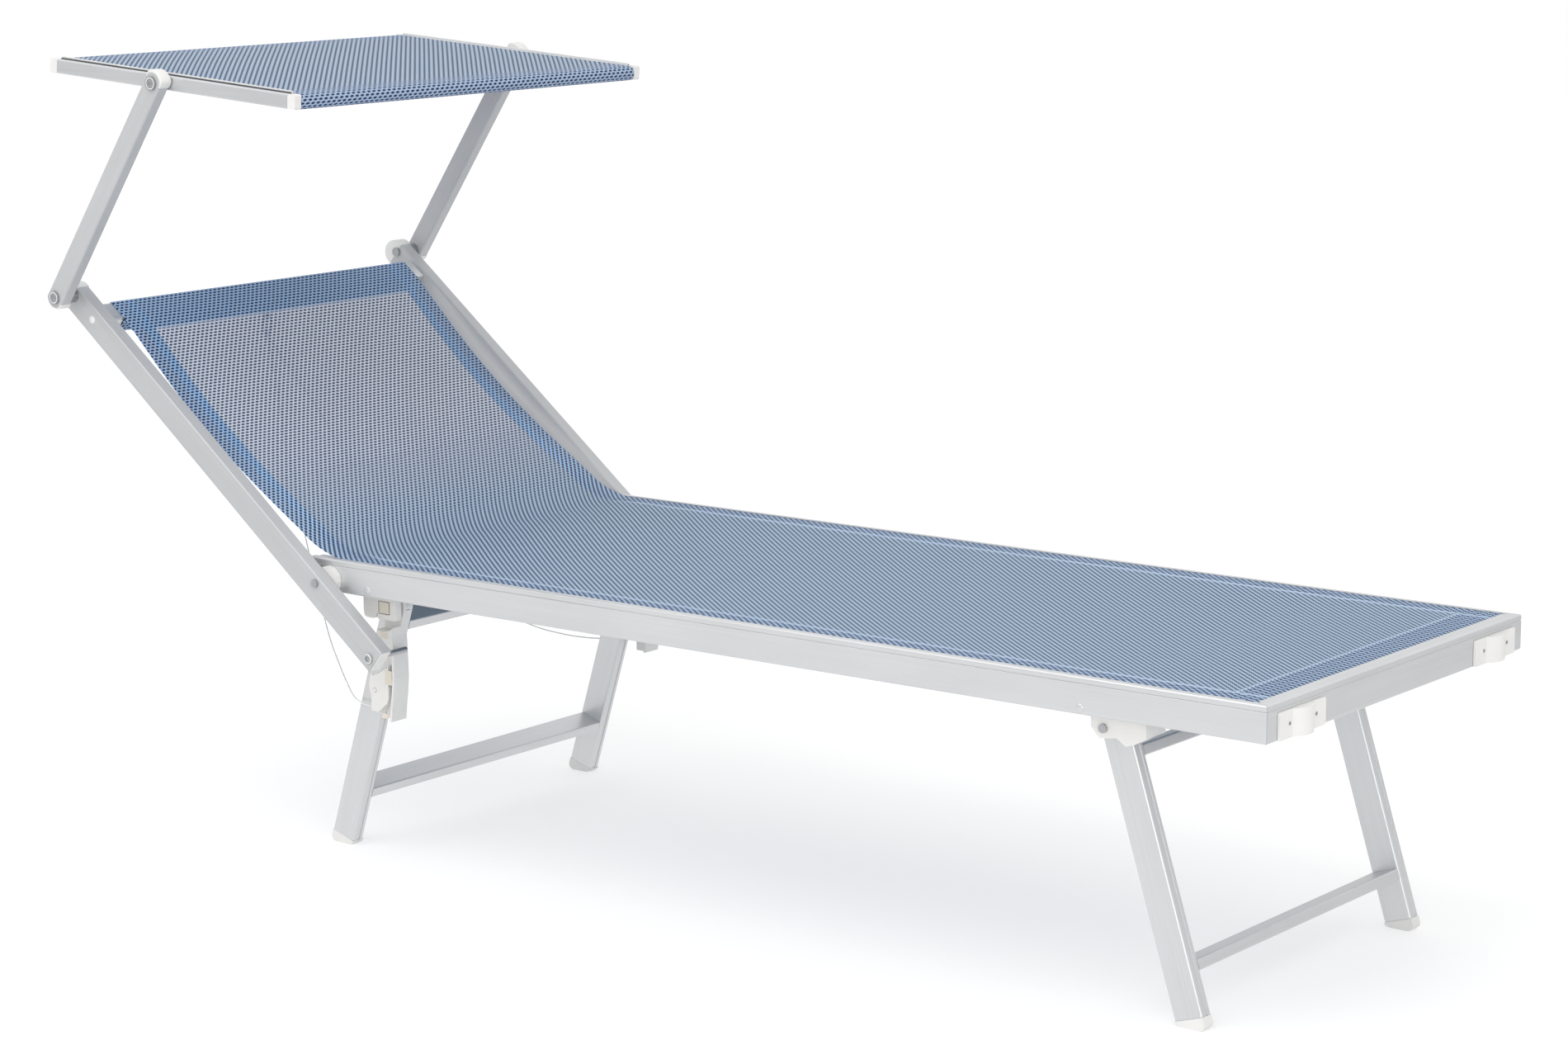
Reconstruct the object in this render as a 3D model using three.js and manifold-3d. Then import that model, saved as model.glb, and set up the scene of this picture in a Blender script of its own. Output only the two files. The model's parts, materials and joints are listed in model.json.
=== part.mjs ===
// Sun lounger with a folding canopy: an aluminium bed frame on two folding leg frames, a backrest
// that reclines on two side pivots, and a small canopy on two arms. Drawn in millimetres, +Z up,
// +X towards the foot end, -Y on the right of a person lying on it. Everything is first placed
// from the face of the foot rail (X = 0), and moved at the end so that the middle of the whole
// lounger's box stands over the origin, with the floor at Z = 0.
import * as THREE from 'three';
import { mergeVertices } from 'three/addons/utils/BufferGeometryUtils.js';
import Module from 'manifold-3d';

// Driving dimensions in millimetres, angles in degrees

// bed frame
const frameWidth = 620;
const frameLength = 1510;
const seatHeight = 417;
const railHeight = 45.6;
const railThickness = 25;
const footRailThickness = 34;
const railWall = 1.6;
const railCorner = 3;
const sideSlot = 10;
const footSlot = 20;
const slotMouth = 2.4;
const slotMouthDepth = 2.6;
const slotChannel = 6.4;
const slingLipDrop = 1.8;
const faceGrooveDrop = 8;
const faceGrooveWidth = 1.4;
const faceGrooveDepth = 0.8;
const headBarLength = 20;
const headBarHeight = 30;
const headBarInset = 5;
const headBarDrop = 12;

// foot bumpers
const bumperWidth = 104;
const bumperHeight = 33;
const bumperPlate = 3;
const bumperCorner = 3;
const bumperDrop = 28.5;
const bumperInset = 75;
const bossWidth = 48;
const bossReach = 10;

// sling
const slingThickness = 1.2;
const slingSag = 6;
const slingSagRun = 260;
const slingSeatEnd = 70;
const bendRadius = 147;
const bendReach = 120;
const beadDiameter = 5.4;

// backrest
const reclineAngle = 38.3;
const backPivotInset = 38;
const backPivotDrop = 29;
const backTubeWidth = 38;
const backTubeThickness = 22;
const backTubeGap = 8.5;
const backTubeDrop = 9;
const backTubeLower = 144;
const tubeWall = 1.5;
const tubeCorner = 3;
const crossbarAlong = 34;
const crossbarHeight = 25;
const crossbarBelowArms = 49;
const crossbarTop = 6;
const spacerDiameter = 40;
const latchPinReach = 133.2;
const latchPinDrop = 11.6;
const latchPinGap = 6.5;

// canopy arms
const armPivotReach = 587.5;
const armPivotDrop = 4;
const armAngle = 55.1;
const armSpan = 375.4;
const armWidth = 30;
const armThickness = 19;
const armGap = 15.5;
const armCorner = 3;

// canopy
const canopyTilt = 4;
const canopyLength = 481;
const canopyHeadReach = 228.5;
const canopyRailHeight = 20;
const canopyRailThickness = 12;
const canopyRailGap = 2;
const canopyRailCorner = 2.5;
const canopyCapLength = 14;
const canopyTubeDiameter = 18;
const canopyTubeDrop = 0.8;
const canopyTubeInset = 10;
const canopyHem = 1.8;

// legs
const legWidth = 40;
const legThickness = 20;
const legInset = 42.5;
const legCorner = 3;
const legGrooveWidth = 6;
const legGrooveDepth = 0.9;
const footHeight = 12;
const footPlugLength = 22;
const crossTubeWidth = 38;
const crossTubeHeight = 14;
const crossTubeCorner = 2;
const legPivotHeight = 353;
const rearLegLean = 17.6;
const rearLegPivotInset = 107.3;
const rearUpperBar = 25.5;
const rearLowerBar = 287;
const frontLegLean = 17.5;
const frontLegPivotReach = 235;
const frontUpperBar = 37.5;
const frontLowerBar = 298.6;
const bracketOuterGap = 0.3;

// rear brackets
const rearBracketWidth = 60.6;
const rearBracketHeight = 68;
const rearBracketPlate = 10.7;
const rearBracketFront = 26.7;
const rearBracketBelow = 16;
const pocketDepth = 6;
const stopRibHeight = 26;

// front brackets
const frontBracketWidth = 77;
const frontBracketHeight = 70;
const frontBracketRear = 18;
const frontBracketBelow = 18;
const stopBlockHeight = 36;

// racks and latch levers on the rear legs
const rackWidth = 36.4;
const rackHeight = 165.4;
const rackRearReach = 10.7;
const rackBelowPivot = 158;
const rackBase = 5.7;
const rackGap = 0.8;
const flangeOverlap = 7.5;
const flangeThickness = 3.6;
const lowerFlangeHeight = 83.5;
const upperBlockBottom = 54.5;
const rackPivotClear = 33;
const leverThickness = 15.2;
const leverPivotReach = 17.8;
const leverPivotBelow = 117;
const leverPivotRadius = 3;
const leverEarRadius = 8;
const leverHeelReach = 28.8;
const leverTailBelow = 147;
const leverArcStart = -55.5;
const leverArcEnd = -71.4;
const leverTeeth = 6;
const toothDepth = 2.2;

// fasteners
const boltRadius = 4;
const boltHole = 4.4;
const headRadius = 7;
const smallHeadRadius = 5.5;
const headHeight = 3;
const washerRadius = 9.5;
const collarRadius = 10;

// pull cord and its ring
const cordDiameter = 2;
const cordSides = 8;
const cordHalfSteps = 2;
const ringWidth = 20;
const ringHeight = 32;
const ringWire = 3;
const ringDrop = 27;
const clipWidth = 12;
const clipThickness = 3;
const clipHole = 3.2;

// shared clearances and mesh settings
const seatGap = 0.3;
const pinClear = 1;
const cutOverrun = 5;
const roundSteps = 4;
const circleSteps = 8;
const holeSides = 16;
const latheSides = 20;
const beadSides = 12;
const seatCellsAlong = 14;
const seatCellsAcross = 10;

// Finishes
const finishes = {
  aluminium: { color: 0xc9cbcd, roughness: 0.42, metalness: 0.85 },
  steel: { color: 0xb9bcc0, roughness: 0.3, metalness: 1 },
  plastic: { color: 0xf1f1ee, roughness: 0.45, metalness: 0 },
  fabric: { color: 0x8ea5c2, roughness: 0.9, metalness: 0 },
  cord: { color: 0xe9e8e4, roughness: 0.7, metalness: 0 },
};

const wasm = await Module();
wasm.setup();
const radians = THREE.MathUtils.degToRad;

// Solids: three.js geometry to a manifold and back

function solidOf(geometry) {
  const bare = new THREE.BufferGeometry();
  bare.setAttribute('position', geometry.getAttribute('position').clone());
  if (geometry.index) bare.setIndex(geometry.index.clone());
  const merged = mergeVertices(bare);
  return new wasm.Manifold(new wasm.Mesh({
    numProp: 3,
    vertProperties: merged.getAttribute('position').array,
    triVerts: new Uint32Array(merged.index.array),
  }));
}

function geometryOf(solid) {
  const mesh = solid.getMesh();
  const geometry = new THREE.BufferGeometry();
  geometry.setAttribute('position', new THREE.BufferAttribute(new Float32Array(mesh.vertProperties), mesh.numProp));
  geometry.setIndex(new THREE.BufferAttribute(new Uint32Array(mesh.triVerts), 1));
  geometry.computeVertexNormals();
  return geometry;
}

function join(first, ...others) {
  return geometryOf(others.reduce((solid, next) => solid.add(solidOf(next)), solidOf(first)));
}

function cut(first, ...others) {
  return geometryOf(others.reduce((solid, next) => solid.subtract(solidOf(next)), solidOf(first)));
}

function common(first, second) {
  return geometryOf(solidOf(first).intersect(solidOf(second)));
}

// Flat outlines

function roundedRectangle(width, height, corner, centreX = 0, centreY = 0) {
  const x = width / 2 - corner;
  const y = height / 2 - corner;
  const shape = new THREE.Shape();
  shape.absarc(centreX + x, centreY - y, corner, -Math.PI / 2, 0);
  shape.absarc(centreX + x, centreY + y, corner, 0, Math.PI / 2);
  shape.absarc(centreX - x, centreY + y, corner, Math.PI / 2, Math.PI);
  shape.absarc(centreX - x, centreY - y, corner, Math.PI, Math.PI * 1.5);
  return shape;
}

// the hollow section of a drawn tube
function tubeSection(width, height, corner, wall) {
  const section = roundedRectangle(width, height, corner);
  section.holes.push(roundedRectangle(width - 2 * wall, height - 2 * wall, corner - wall));
  return section;
}

// the solid section of a plug that goes loosely inside such a tube
function plugSection(width, height, corner) {
  const less = 2 * (tubeWall + seatGap);
  return roundedRectangle(width - less, height - less, corner - tubeWall);
}

function polygon(points) {
  return new THREE.Shape(points.map(([x, y]) => new THREE.Vector2(x, y)));
}

function outlineFromShares(shares, left, bottom, width, height) {
  return shares.map(([across, up]) => [left + across * width, bottom + up * height]);
}

function circle(radius, x = 0, y = 0) {
  const shape = new THREE.Shape();
  shape.absarc(x, y, radius, 0, Math.PI * 2);
  return shape;
}

// Prisms: an outline pushed along one direction

function prism(shape, depth, steps = roundSteps) {
  return new THREE.ExtrudeGeometry(shape, { depth, bevelEnabled: false, curveSegments: steps });
}

// an outline drawn as (X, Z) in the side view, filling Y from low to high
function sidePrism(shape, low, high, steps = roundSteps) {
  return prism(shape, high - low, steps).rotateX(Math.PI / 2).translate(0, high, 0);
}

// the same for one side of the lounger, from its inner to its outer distance from the middle
function sidePlate(shape, side, inner, outer, steps = roundSteps) {
  return sidePrism(shape, Math.min(side * inner, side * outer), Math.max(side * inner, side * outer), steps);
}

function box(lowX, highX, lowY, highY, lowZ, highZ) {
  return new THREE.BoxGeometry(highX - lowX, highY - lowY, highZ - lowZ)
    .translate((lowX + highX) / 2, (lowY + highY) / 2, (lowZ + highZ) / 2);
}

// a round bar along Y, from low to high
function crossRod(radius, low, high, x = 0, z = 0, sides = holeSides) {
  return new THREE.CylinderGeometry(radius, radius, high - low, sides).translate(x, (low + high) / 2, z);
}

// a turned piece along Y on one side of the lounger: each step is [where it starts, its radius],
// counted out from the middle, and the last one runs to the end
function turned(steps, end, side) {
  const profile = [new THREE.Vector2(0, steps[0][0])];
  steps.forEach(([start, radius], i) => {
    const stop = i + 1 < steps.length ? steps[i + 1][0] : end;
    profile.push(new THREE.Vector2(radius, start), new THREE.Vector2(radius, stop));
  });
  profile.push(new THREE.Vector2(0, end));
  const geometry = new THREE.LatheGeometry(profile, latheSides);
  return side > 0 ? geometry : geometry.rotateX(Math.PI);
}

// A flat-sided tube along local Z, as wide as its X size and as thick as its Y size. An end that is
// round is drawn about its own centre and closed by its plug; any other end is cut square and open.
function roundEndTube({ width, thickness, corner, wall, low, high, lowRound, holes }) {
  const bottom = lowRound ? low - width / 2 : low;
  const top = high + width / 2;
  const outer = prism(roundedRectangle(width, thickness, corner), top - bottom).translate(0, 0, bottom);
  const outline = new THREE.Shape();
  outline.moveTo(-width / 2, lowRound ? low : low - cutOverrun);
  if (lowRound) outline.absarc(0, low, width / 2, Math.PI, Math.PI * 2);
  else outline.lineTo(width / 2, low - cutOverrun);
  outline.lineTo(width / 2, high);
  outline.absarc(0, high, width / 2, 0, Math.PI);
  const rounding = sidePrism(outline, -thickness, thickness, circleSteps);
  const inner = roundedRectangle(width - 2 * wall, thickness - 2 * wall, corner - wall);
  const cavityLow = lowRound ? low : low - cutOverrun;
  const cavity = prism(inner, high - cavityLow).translate(0, 0, cavityLow);
  const drills = holes.map(([x, z]) => crossRod(boltHole, -thickness, thickness, x, z));
  return cut(common(outer, rounding), cavity, ...drills);
}

// A closed sheet over a grid: top and bottom surfaces joined round the edge
function sheet(xs, ys, bottomAt, thickness) {
  const positions = [];
  for (const lift of [0, thickness]) {
    for (const x of xs) for (const y of ys) positions.push(x, y, bottomAt(x, y) + lift);
  }
  const columns = ys.length;
  const layer = xs.length * columns;
  const index = [];
  const quad = (a, b, c, d) => index.push(a, b, c, a, c, d);
  for (let i = 0; i + 1 < xs.length; i++) {
    for (let j = 0; j + 1 < columns; j++) {
      const a = i * columns + j;
      quad(a, a + 1, a + columns + 1, a + columns);
      quad(layer + a, layer + a + columns, layer + a + columns + 1, layer + a + 1);
    }
  }
  for (let i = 0; i + 1 < xs.length; i++) {
    const low = i * columns;
    const high = low + columns - 1;
    quad(low, low + columns, layer + low + columns, layer + low);
    quad(high, layer + high, layer + high + columns, high + columns);
  }
  for (let j = 0; j + 1 < columns; j++) {
    const far = (xs.length - 1) * columns + j;
    quad(j, layer + j, layer + j + 1, j + 1);
    quad(far, far + 1, layer + far + 1, layer + far);
  }
  const geometry = new THREE.BufferGeometry();
  geometry.setAttribute('position', new THREE.Float32BufferAttribute(positions, 3));
  geometry.setIndex(index);
  geometry.computeVertexNormals();
  return geometry;
}

function spread(low, high, count) {
  return Array.from({ length: count + 1 }, (_, i) => low + (high - low) * i / count);
}

function piece(name, geometry, finish) {
  const mesh = new THREE.Mesh(geometry, new THREE.MeshStandardMaterial(finishes[finish]));
  mesh.name = name;
  return mesh;
}

const sides = [['right', -1], ['left', 1]];

// Places worked out from the driving dimensions

const railOuter = frameWidth / 2;
const railInner = railOuter - railThickness;
const railBottom = seatHeight - railHeight;
const backPivot = { x: -(frameLength - backPivotInset), z: seatHeight - backPivotDrop };
const backTubeInner = railOuter + backTubeGap;
const backTubeOuter = backTubeInner + backTubeThickness;
const crossbarReach = armPivotReach - crossbarBelowArms;
const armInner = backTubeOuter + armGap;
const armOuter = armInner + armThickness;
const canopyRailOuter = armInner - canopyRailGap;
const canopyRailInner = canopyRailOuter - canopyRailThickness;
const legInner = railInner - legInset;
const legOuter = legInner + legThickness;
const latchPinInner = legOuter + latchPinGap;
const rackOuter = railInner - rackGap;
const flangeInner = legOuter - flangeOverlap;
const rearPivot = { x: -(frameLength - rearLegPivotInset), z: legPivotHeight };
const frontPivot = { x: -frontLegPivotReach, z: legPivotHeight };
const bracketOuter = railInner - bracketOuterGap;
const slingHalf = railOuter - sideSlot - seatGap;
const channelHalfAngle = Math.asin(slotMouth / slotChannel);
const channelDrop = slotMouthDepth + slotChannel / 2 * Math.cos(channelHalfAngle);
const slingBottom = seatHeight - slingLipDrop + seatGap;

const lounger = new THREE.Group();
const mainFrame = new THREE.Group();
const backrest = new THREE.Group();
const canopyArms = new THREE.Group();
const canopy = new THREE.Group();
const rearLegs = new THREE.Group();
const frontLegs = new THREE.Group();
lounger.add(mainFrame, backrest, rearLegs, frontLegs);
backrest.add(canopyArms);
canopyArms.add(canopy);
backrest.position.set(backPivot.x, 0, backPivot.z);
backrest.rotation.y = radians(reclineAngle);
canopyArms.position.set(-armPivotReach, 0, -armPivotDrop);
canopyArms.rotation.y = radians(90 - armAngle - reclineAngle);
canopy.position.set(0, 0, armSpan);
canopy.rotation.y = radians(canopyTilt - 90 + armAngle);
rearLegs.position.set(rearPivot.x, 0, rearPivot.z);
rearLegs.rotation.y = radians(rearLegLean);
frontLegs.position.set(frontPivot.x, 0, frontPivot.z);
frontLegs.rotation.y = radians(-frontLegLean);

// Bed frame: side rails and foot rail are one profile family, with a slot that holds the sling's bead

function railProfile(thickness, slot) {
  const channel = slotChannel / 2;
  const channelX = slot + slotMouth / 2;
  const half = channelHalfAngle;
  const channelZ = railHeight - channelDrop;
  const groove = railHeight - faceGrooveDrop;
  const shape = new THREE.Shape();
  shape.moveTo(railCorner, 0);
  shape.lineTo(thickness - railCorner, 0);
  shape.absarc(thickness - railCorner, railCorner, railCorner, -Math.PI / 2, 0);
  shape.lineTo(thickness, railHeight - slingLipDrop);
  shape.lineTo(slot + slotMouth, railHeight - slingLipDrop);
  shape.lineTo(channelX + channel * Math.sin(half), channelZ + channel * Math.cos(half));
  shape.absarc(channelX, channelZ, channel, Math.PI / 2 - half, Math.PI / 2 + half - Math.PI * 2, true);
  shape.lineTo(slot, railHeight);
  shape.lineTo(railCorner, railHeight);
  shape.absarc(railCorner, railHeight - railCorner, railCorner, Math.PI / 2, Math.PI);
  shape.lineTo(0, groove + faceGrooveWidth / 2);
  shape.lineTo(faceGrooveDepth, groove);
  shape.lineTo(0, groove - faceGrooveWidth / 2);
  shape.lineTo(0, railCorner);
  shape.absarc(railCorner, railCorner, railCorner, Math.PI, Math.PI * 1.5);
  const chamberTop = channelZ - channel - railWall;
  shape.holes.push(roundedRectangle(thickness - 2 * railWall, chamberTop - railWall,
    railCorner - railWall, thickness / 2, (chamberTop + railWall) / 2));
  return shape;
}

// a profile's ends are slanted by moving their corners along the rail, each by its own depth
function mitred(geometry, length, startSlope, endSlope) {
  const position = geometry.getAttribute('position');
  for (let i = 0; i < position.count; i++) {
    const depth = position.getX(i);
    if (position.getZ(i) < length / 2) position.setZ(i, startSlope * depth);
    else position.setZ(i, length - endSlope * depth);
  }
  return geometry;
}

function turnTo(geometry, across, up, along) {
  return geometry.applyMatrix4(new THREE.Matrix4().makeBasis(across, up, along));
}

const axisX = new THREE.Vector3(1, 0, 0);
const axisY = new THREE.Vector3(0, 1, 0);
const axisZ = new THREE.Vector3(0, 0, 1);
const mitreSlope = footRailThickness / railThickness;

function sideRail(side) {
  const length = frameLength - seatGap;
  const start = side < 0 ? 0 : mitreSlope;
  const end = side < 0 ? mitreSlope : 0;
  const rail = mitred(prism(railProfile(railThickness, sideSlot), length), length, start, end);
  const direction = side < 0 ? axisX : axisX.clone().negate();
  turnTo(rail, axisY.clone().multiplyScalar(-side), axisZ, direction);
  const from = side < 0 ? -frameLength : -seatGap;
  rail.translate(from, side * railOuter, railBottom);
  const reach = railThickness + cutOverrun;
  const drillLow = side < 0 ? -railOuter - cutOverrun : railOuter - reach;
  return cut(rail, crossRod(boltHole, drillLow, drillLow + reach + cutOverrun, backPivot.x, backPivot.z));
}

function footRail() {
  const rail = mitred(prism(railProfile(footRailThickness, footSlot), frameWidth), frameWidth,
    1 / mitreSlope, 1 / mitreSlope);
  turnTo(rail, axisX.clone().negate(), axisZ, axisY);
  return rail.translate(0, -railOuter, railBottom);
}

function headCrossbar() {
  const length = 2 * (railInner - seatGap);
  const section = tubeSection(headBarLength, headBarHeight, tubeCorner, tubeWall);
  return sidePrism(section, -length / 2, length / 2).translate(
    -frameLength + headBarInset + headBarLength / 2, 0, seatHeight - headBarDrop - headBarHeight / 2);
}

function footBumper(side) {
  const plate = prism(roundedRectangle(bumperWidth, bumperHeight, bumperCorner), bumperPlate);
  const boss = new THREE.Shape();
  boss.moveTo(-bossWidth / 2, 0);
  boss.quadraticCurveTo(0, 2 * bossReach, bossWidth / 2, 0);
  boss.lineTo(bossWidth / 2, -bumperPlate / 2);
  boss.lineTo(-bossWidth / 2, -bumperPlate / 2);
  const dome = prism(boss, bumperHeight, circleSteps).rotateX(Math.PI / 2)
    .translate(0, bumperHeight / 2, bumperPlate);
  const whole = join(plate, dome);
  turnTo(whole, axisY, axisZ, axisX);
  return whole.translate(seatGap, side * (railOuter - bumperInset), seatHeight - bumperDrop);
}

for (const [name, side] of sides) {
  mainFrame.add(piece(`side_rail_${name}`, sideRail(side), 'aluminium'));
  mainFrame.add(piece(`foot_bumper_${name}`, footBumper(side), 'plastic'));
}
mainFrame.add(piece('foot_rail', footRail(), 'aluminium'));
mainFrame.add(piece('head_crossbar', headCrossbar(), 'aluminium'));

// Backrest pivots: a shouldered rivet through rail, spacer and backrest tube on each side

for (const [name, side] of sides) {
  const rivet = turned([
    [railInner - headHeight - seatGap, headRadius],
    [railInner - seatGap, boltRadius],
    [backTubeOuter + seatGap, smallHeadRadius],
  ], backTubeOuter + seatGap + headHeight, side).translate(backPivot.x, 0, backPivot.z);
  mainFrame.add(piece(`backrest_pivot_${name}`, rivet, 'steel'));
  const disc = circle(spacerDiameter / 2);
  disc.holes.push(circle(boltHole));
  const spacer = sidePlate(disc, side, railOuter + seatGap, backTubeInner - seatGap, circleSteps)
    .translate(backPivot.x, 0, backPivot.z);
  mainFrame.add(piece(`pivot_spacer_${name}`, spacer, 'plastic'));
}

// Leg brackets, riveted to the inner faces of the side rails

// where a leg's face crosses a height in the side view; turn is +1 for the face towards the foot end
function legFace(pivot, lean, turn, z) {
  return pivot.x + (z - pivot.z) * Math.tan(radians(lean)) + turn * legWidth / 2 / Math.cos(radians(lean));
}

const rearFlapShares = [
  [0, 0.12], [0.03, 0.03], [0.1, 0], [0.3, 0], [0.37, 0.03], [0.4, 0.12], [0.44, 0.12], [0.44, 0],
  [0.97, 0], [1, 0.03], [1, 0.5], [0.85, 0.5], [0.85, 0.97], [0.82, 1], [0.3, 1], [0.27, 0.97], [0.27, 0.5], [0, 0.5],
];
const pocketShares = [[0.455, 0.11], [0.81, 0.11], [0.81, 0.375], [0.455, 0.375]];

function rearBracket(side) {
  const front = rearPivot.x + rearBracketFront;
  const left = front - rearBracketWidth;
  const bottom = rearPivot.z - rearBracketBelow;
  const place = (shares) => polygon(outlineFromShares(shares, left, bottom, rearBracketWidth, rearBracketHeight));
  const plateInner = bracketOuter - rearBracketPlate;
  const plate = sidePlate(place(rearFlapShares), side, plateInner, bracketOuter);
  const pocket = sidePlate(place(pocketShares), side, bracketOuter - pocketDepth, bracketOuter + cutOverrun);
  const ribBottom = bottom + rearBracketBelow / 2;
  const ribTop = bottom + rearBracketBelow / 2 + stopRibHeight;
  const rib = sidePlate(polygon([
    [left, ribBottom],
    [legFace(rearPivot, rearLegLean, -1, ribBottom) - seatGap, ribBottom],
    [legFace(rearPivot, rearLegLean, -1, rearPivot.z) - seatGap, rearPivot.z],
    [legFace(rearPivot, rearLegLean, -1, rearPivot.z) - seatGap, ribTop],
    [left, ribTop],
  ]), side, legInner, plateInner + seatGap);
  const drill = sidePlate(circle(boltHole, rearPivot.x, rearPivot.z), side,
    plateInner - cutOverrun, bracketOuter + cutOverrun, circleSteps);
  return cut(join(plate, rib), pocket, drill);
}

const frontLowShare = [0.636, 0];
const frontCornerShare = [1, 0.186];
const frontPlateShares = [
  [0, 0.26], [0.156, 0.07], [0.3, 0.09], [0.468, 0.12], frontLowShare, [0.8, 0.06], frontCornerShare,
  [1, 0.514], [0.84, 0.97], [0.8, 1], [0.12, 1], [0.08, 0.97], [0, 0.72],
];

function frontBracket(side) {
  const left = frontPivot.x - frontBracketRear;
  const bottom = frontPivot.z - frontBracketBelow;
  const place = (shares) => outlineFromShares(shares, left, bottom, frontBracketWidth, frontBracketHeight);
  const plate = sidePlate(polygon(place(frontPlateShares)), side, legOuter + seatGap, bracketOuter);
  const block = sidePlate(polygon([
    [legFace(frontPivot, -frontLegLean, 1, bottom) + seatGap, bottom],
    ...place([frontLowShare, frontCornerShare]),
    [left + frontBracketWidth, bottom + stopBlockHeight],
    [legFace(frontPivot, -frontLegLean, 1, frontPivot.z) + seatGap, bottom + stopBlockHeight],
    [legFace(frontPivot, -frontLegLean, 1, frontPivot.z) + seatGap, frontPivot.z],
  ]), side, legInner, legOuter + 2 * seatGap);
  const drill = sidePlate(circle(boltHole, frontPivot.x, frontPivot.z), side,
    legOuter - cutOverrun, bracketOuter + cutOverrun, circleSteps);
  return cut(join(plate, block), drill);
}

for (const [name, side] of sides) {
  mainFrame.add(piece(`rear_bracket_${name}`, rearBracket(side), 'plastic'));
  mainFrame.add(piece(`front_bracket_${name}`, frontBracket(side), 'plastic'));
}

// Seat sling, with a bead along its edges that sits in the rails' slots

const seatHeadX = -(frameLength - slingSeatEnd);
const seatFootX = -footSlot - seatGap;

function smoothRise(distance, run) {
  const share = THREE.MathUtils.clamp(distance / run, 0, 1);
  return share * share * (3 - 2 * share);
}

function seatSagAt(x, y) {
  const across = Math.max(0, 1 - (y / railInner) ** 2);
  const foot = smoothRise(-footRailThickness - x, slingSagRun);
  const head = smoothRise(x - seatHeadX, slingSagRun);
  return slingSag * across * foot * head;
}

function seatSling() {
  const xs = [...spread(seatHeadX, -footRailThickness, seatCellsAlong), seatFootX];
  const ys = [-slingHalf, ...spread(-railInner, railInner, seatCellsAcross), slingHalf];
  const cloth = sheet(xs, ys, (x, y) => slingBottom - seatSagAt(x, y), slingThickness);
  const beadZ = seatHeight - channelDrop;
  const beads = [];
  for (const [, side] of sides) {
    const outer = side * slingHalf;
    const inner = side * (slingHalf - slingThickness);
    const middle = side * (railOuter - sideSlot - slotMouth / 2);
    const highX = -footRailThickness - seatGap;
    beads.push(box(seatHeadX, highX, Math.min(outer, inner), Math.max(outer, inner), beadZ, slingBottom + slingThickness));
    beads.push(new THREE.CylinderGeometry(beadDiameter / 2, beadDiameter / 2, highX - seatHeadX, beadSides)
      .rotateZ(Math.PI / 2).translate((highX + seatHeadX) / 2, middle, beadZ));
  }
  const footHalf = railInner - slotChannel;
  beads.push(box(seatFootX - slingThickness, seatFootX, -footHalf, footHalf, beadZ, slingBottom + slingThickness));
  beads.push(crossRod(beadDiameter / 2, -footHalf, footHalf, -footSlot - slotMouth / 2, beadZ, beadSides));
  return join(cloth, ...beads);
}
mainFrame.add(piece('seat_sling', seatSling(), 'fabric'));

// The sling's bend over the hinge. Its line is worked out in the side view: level from the seat,
// round the bend, then up along the backrest's own line.

const slingLift = crossbarTop + seatGap;
const along = new THREE.Vector2(-Math.cos(radians(reclineAngle)), Math.sin(radians(reclineAngle)));
const square = new THREE.Vector2(along.y, -along.x);
const onBackrest = (reach, lift) => new THREE.Vector2(backPivot.x, backPivot.z)
  .addScaledVector(along, reach).addScaledVector(square, lift);

function slingBend() {
  const low = onBackrest(bendReach, slingLift);
  const rise = (slingBottom - low.y) / along.y;
  const knee = low.clone().addScaledVector(along, rise);
  const tangent = bendRadius * Math.tan(radians(reclineAngle) / 2);
  const centre = new THREE.Vector2(knee.x + tangent, slingBottom + bendRadius);
  const shape = new THREE.Shape();
  const start = seatHeadX - seatGap;
  const end = low.clone().addScaledVector(along, -seatGap);
  const endTop = end.clone().addScaledVector(square, slingThickness);
  const downward = -Math.PI / 2;
  shape.moveTo(start, slingBottom);
  shape.absarc(centre.x, centre.y, bendRadius, downward, downward - radians(reclineAngle), true);
  shape.lineTo(end.x, end.y);
  shape.lineTo(endTop.x, endTop.y);
  shape.absarc(centre.x, centre.y, bendRadius - slingThickness, downward - radians(reclineAngle), downward);
  shape.lineTo(start, slingBottom + slingThickness);
  return sidePrism(shape, -slingHalf, slingHalf, circleSteps);
}
mainFrame.add(piece('sling_bend', slingBend(), 'fabric'));

// Backrest, drawn about its pivot with local X down the tubes and local Z out of the lying side

function backrestTube(side) {
  const holes = [[0, 0], [latchPinReach, -latchPinDrop], [-armPivotReach, -armPivotDrop]]
    .map(([reach, lift]) => [backTubeDrop + lift, -reach]);
  const tube = roundEndTube({
    width: backTubeWidth,
    thickness: backTubeThickness,
    corner: tubeCorner,
    wall: tubeWall,
    low: -backTubeLower,
    high: armPivotReach + armPivotDrop,
    lowRound: false,
    holes,
  });
  // the tube is drawn standing up: its length turns to -X, and its width stays across the backrest
  turnTo(tube, axisZ, axisY, axisX.clone().negate());
  return tube.translate(0, side * (backTubeInner + backTubeThickness / 2), -backTubeDrop);
}

function backrestCrossbar() {
  const section = tubeSection(crossbarAlong, crossbarHeight, tubeCorner, tubeWall);
  const half = backTubeInner - seatGap;
  return sidePrism(section, -half, half).translate(-crossbarReach, 0, crossbarTop - crossbarHeight / 2);
}

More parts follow.
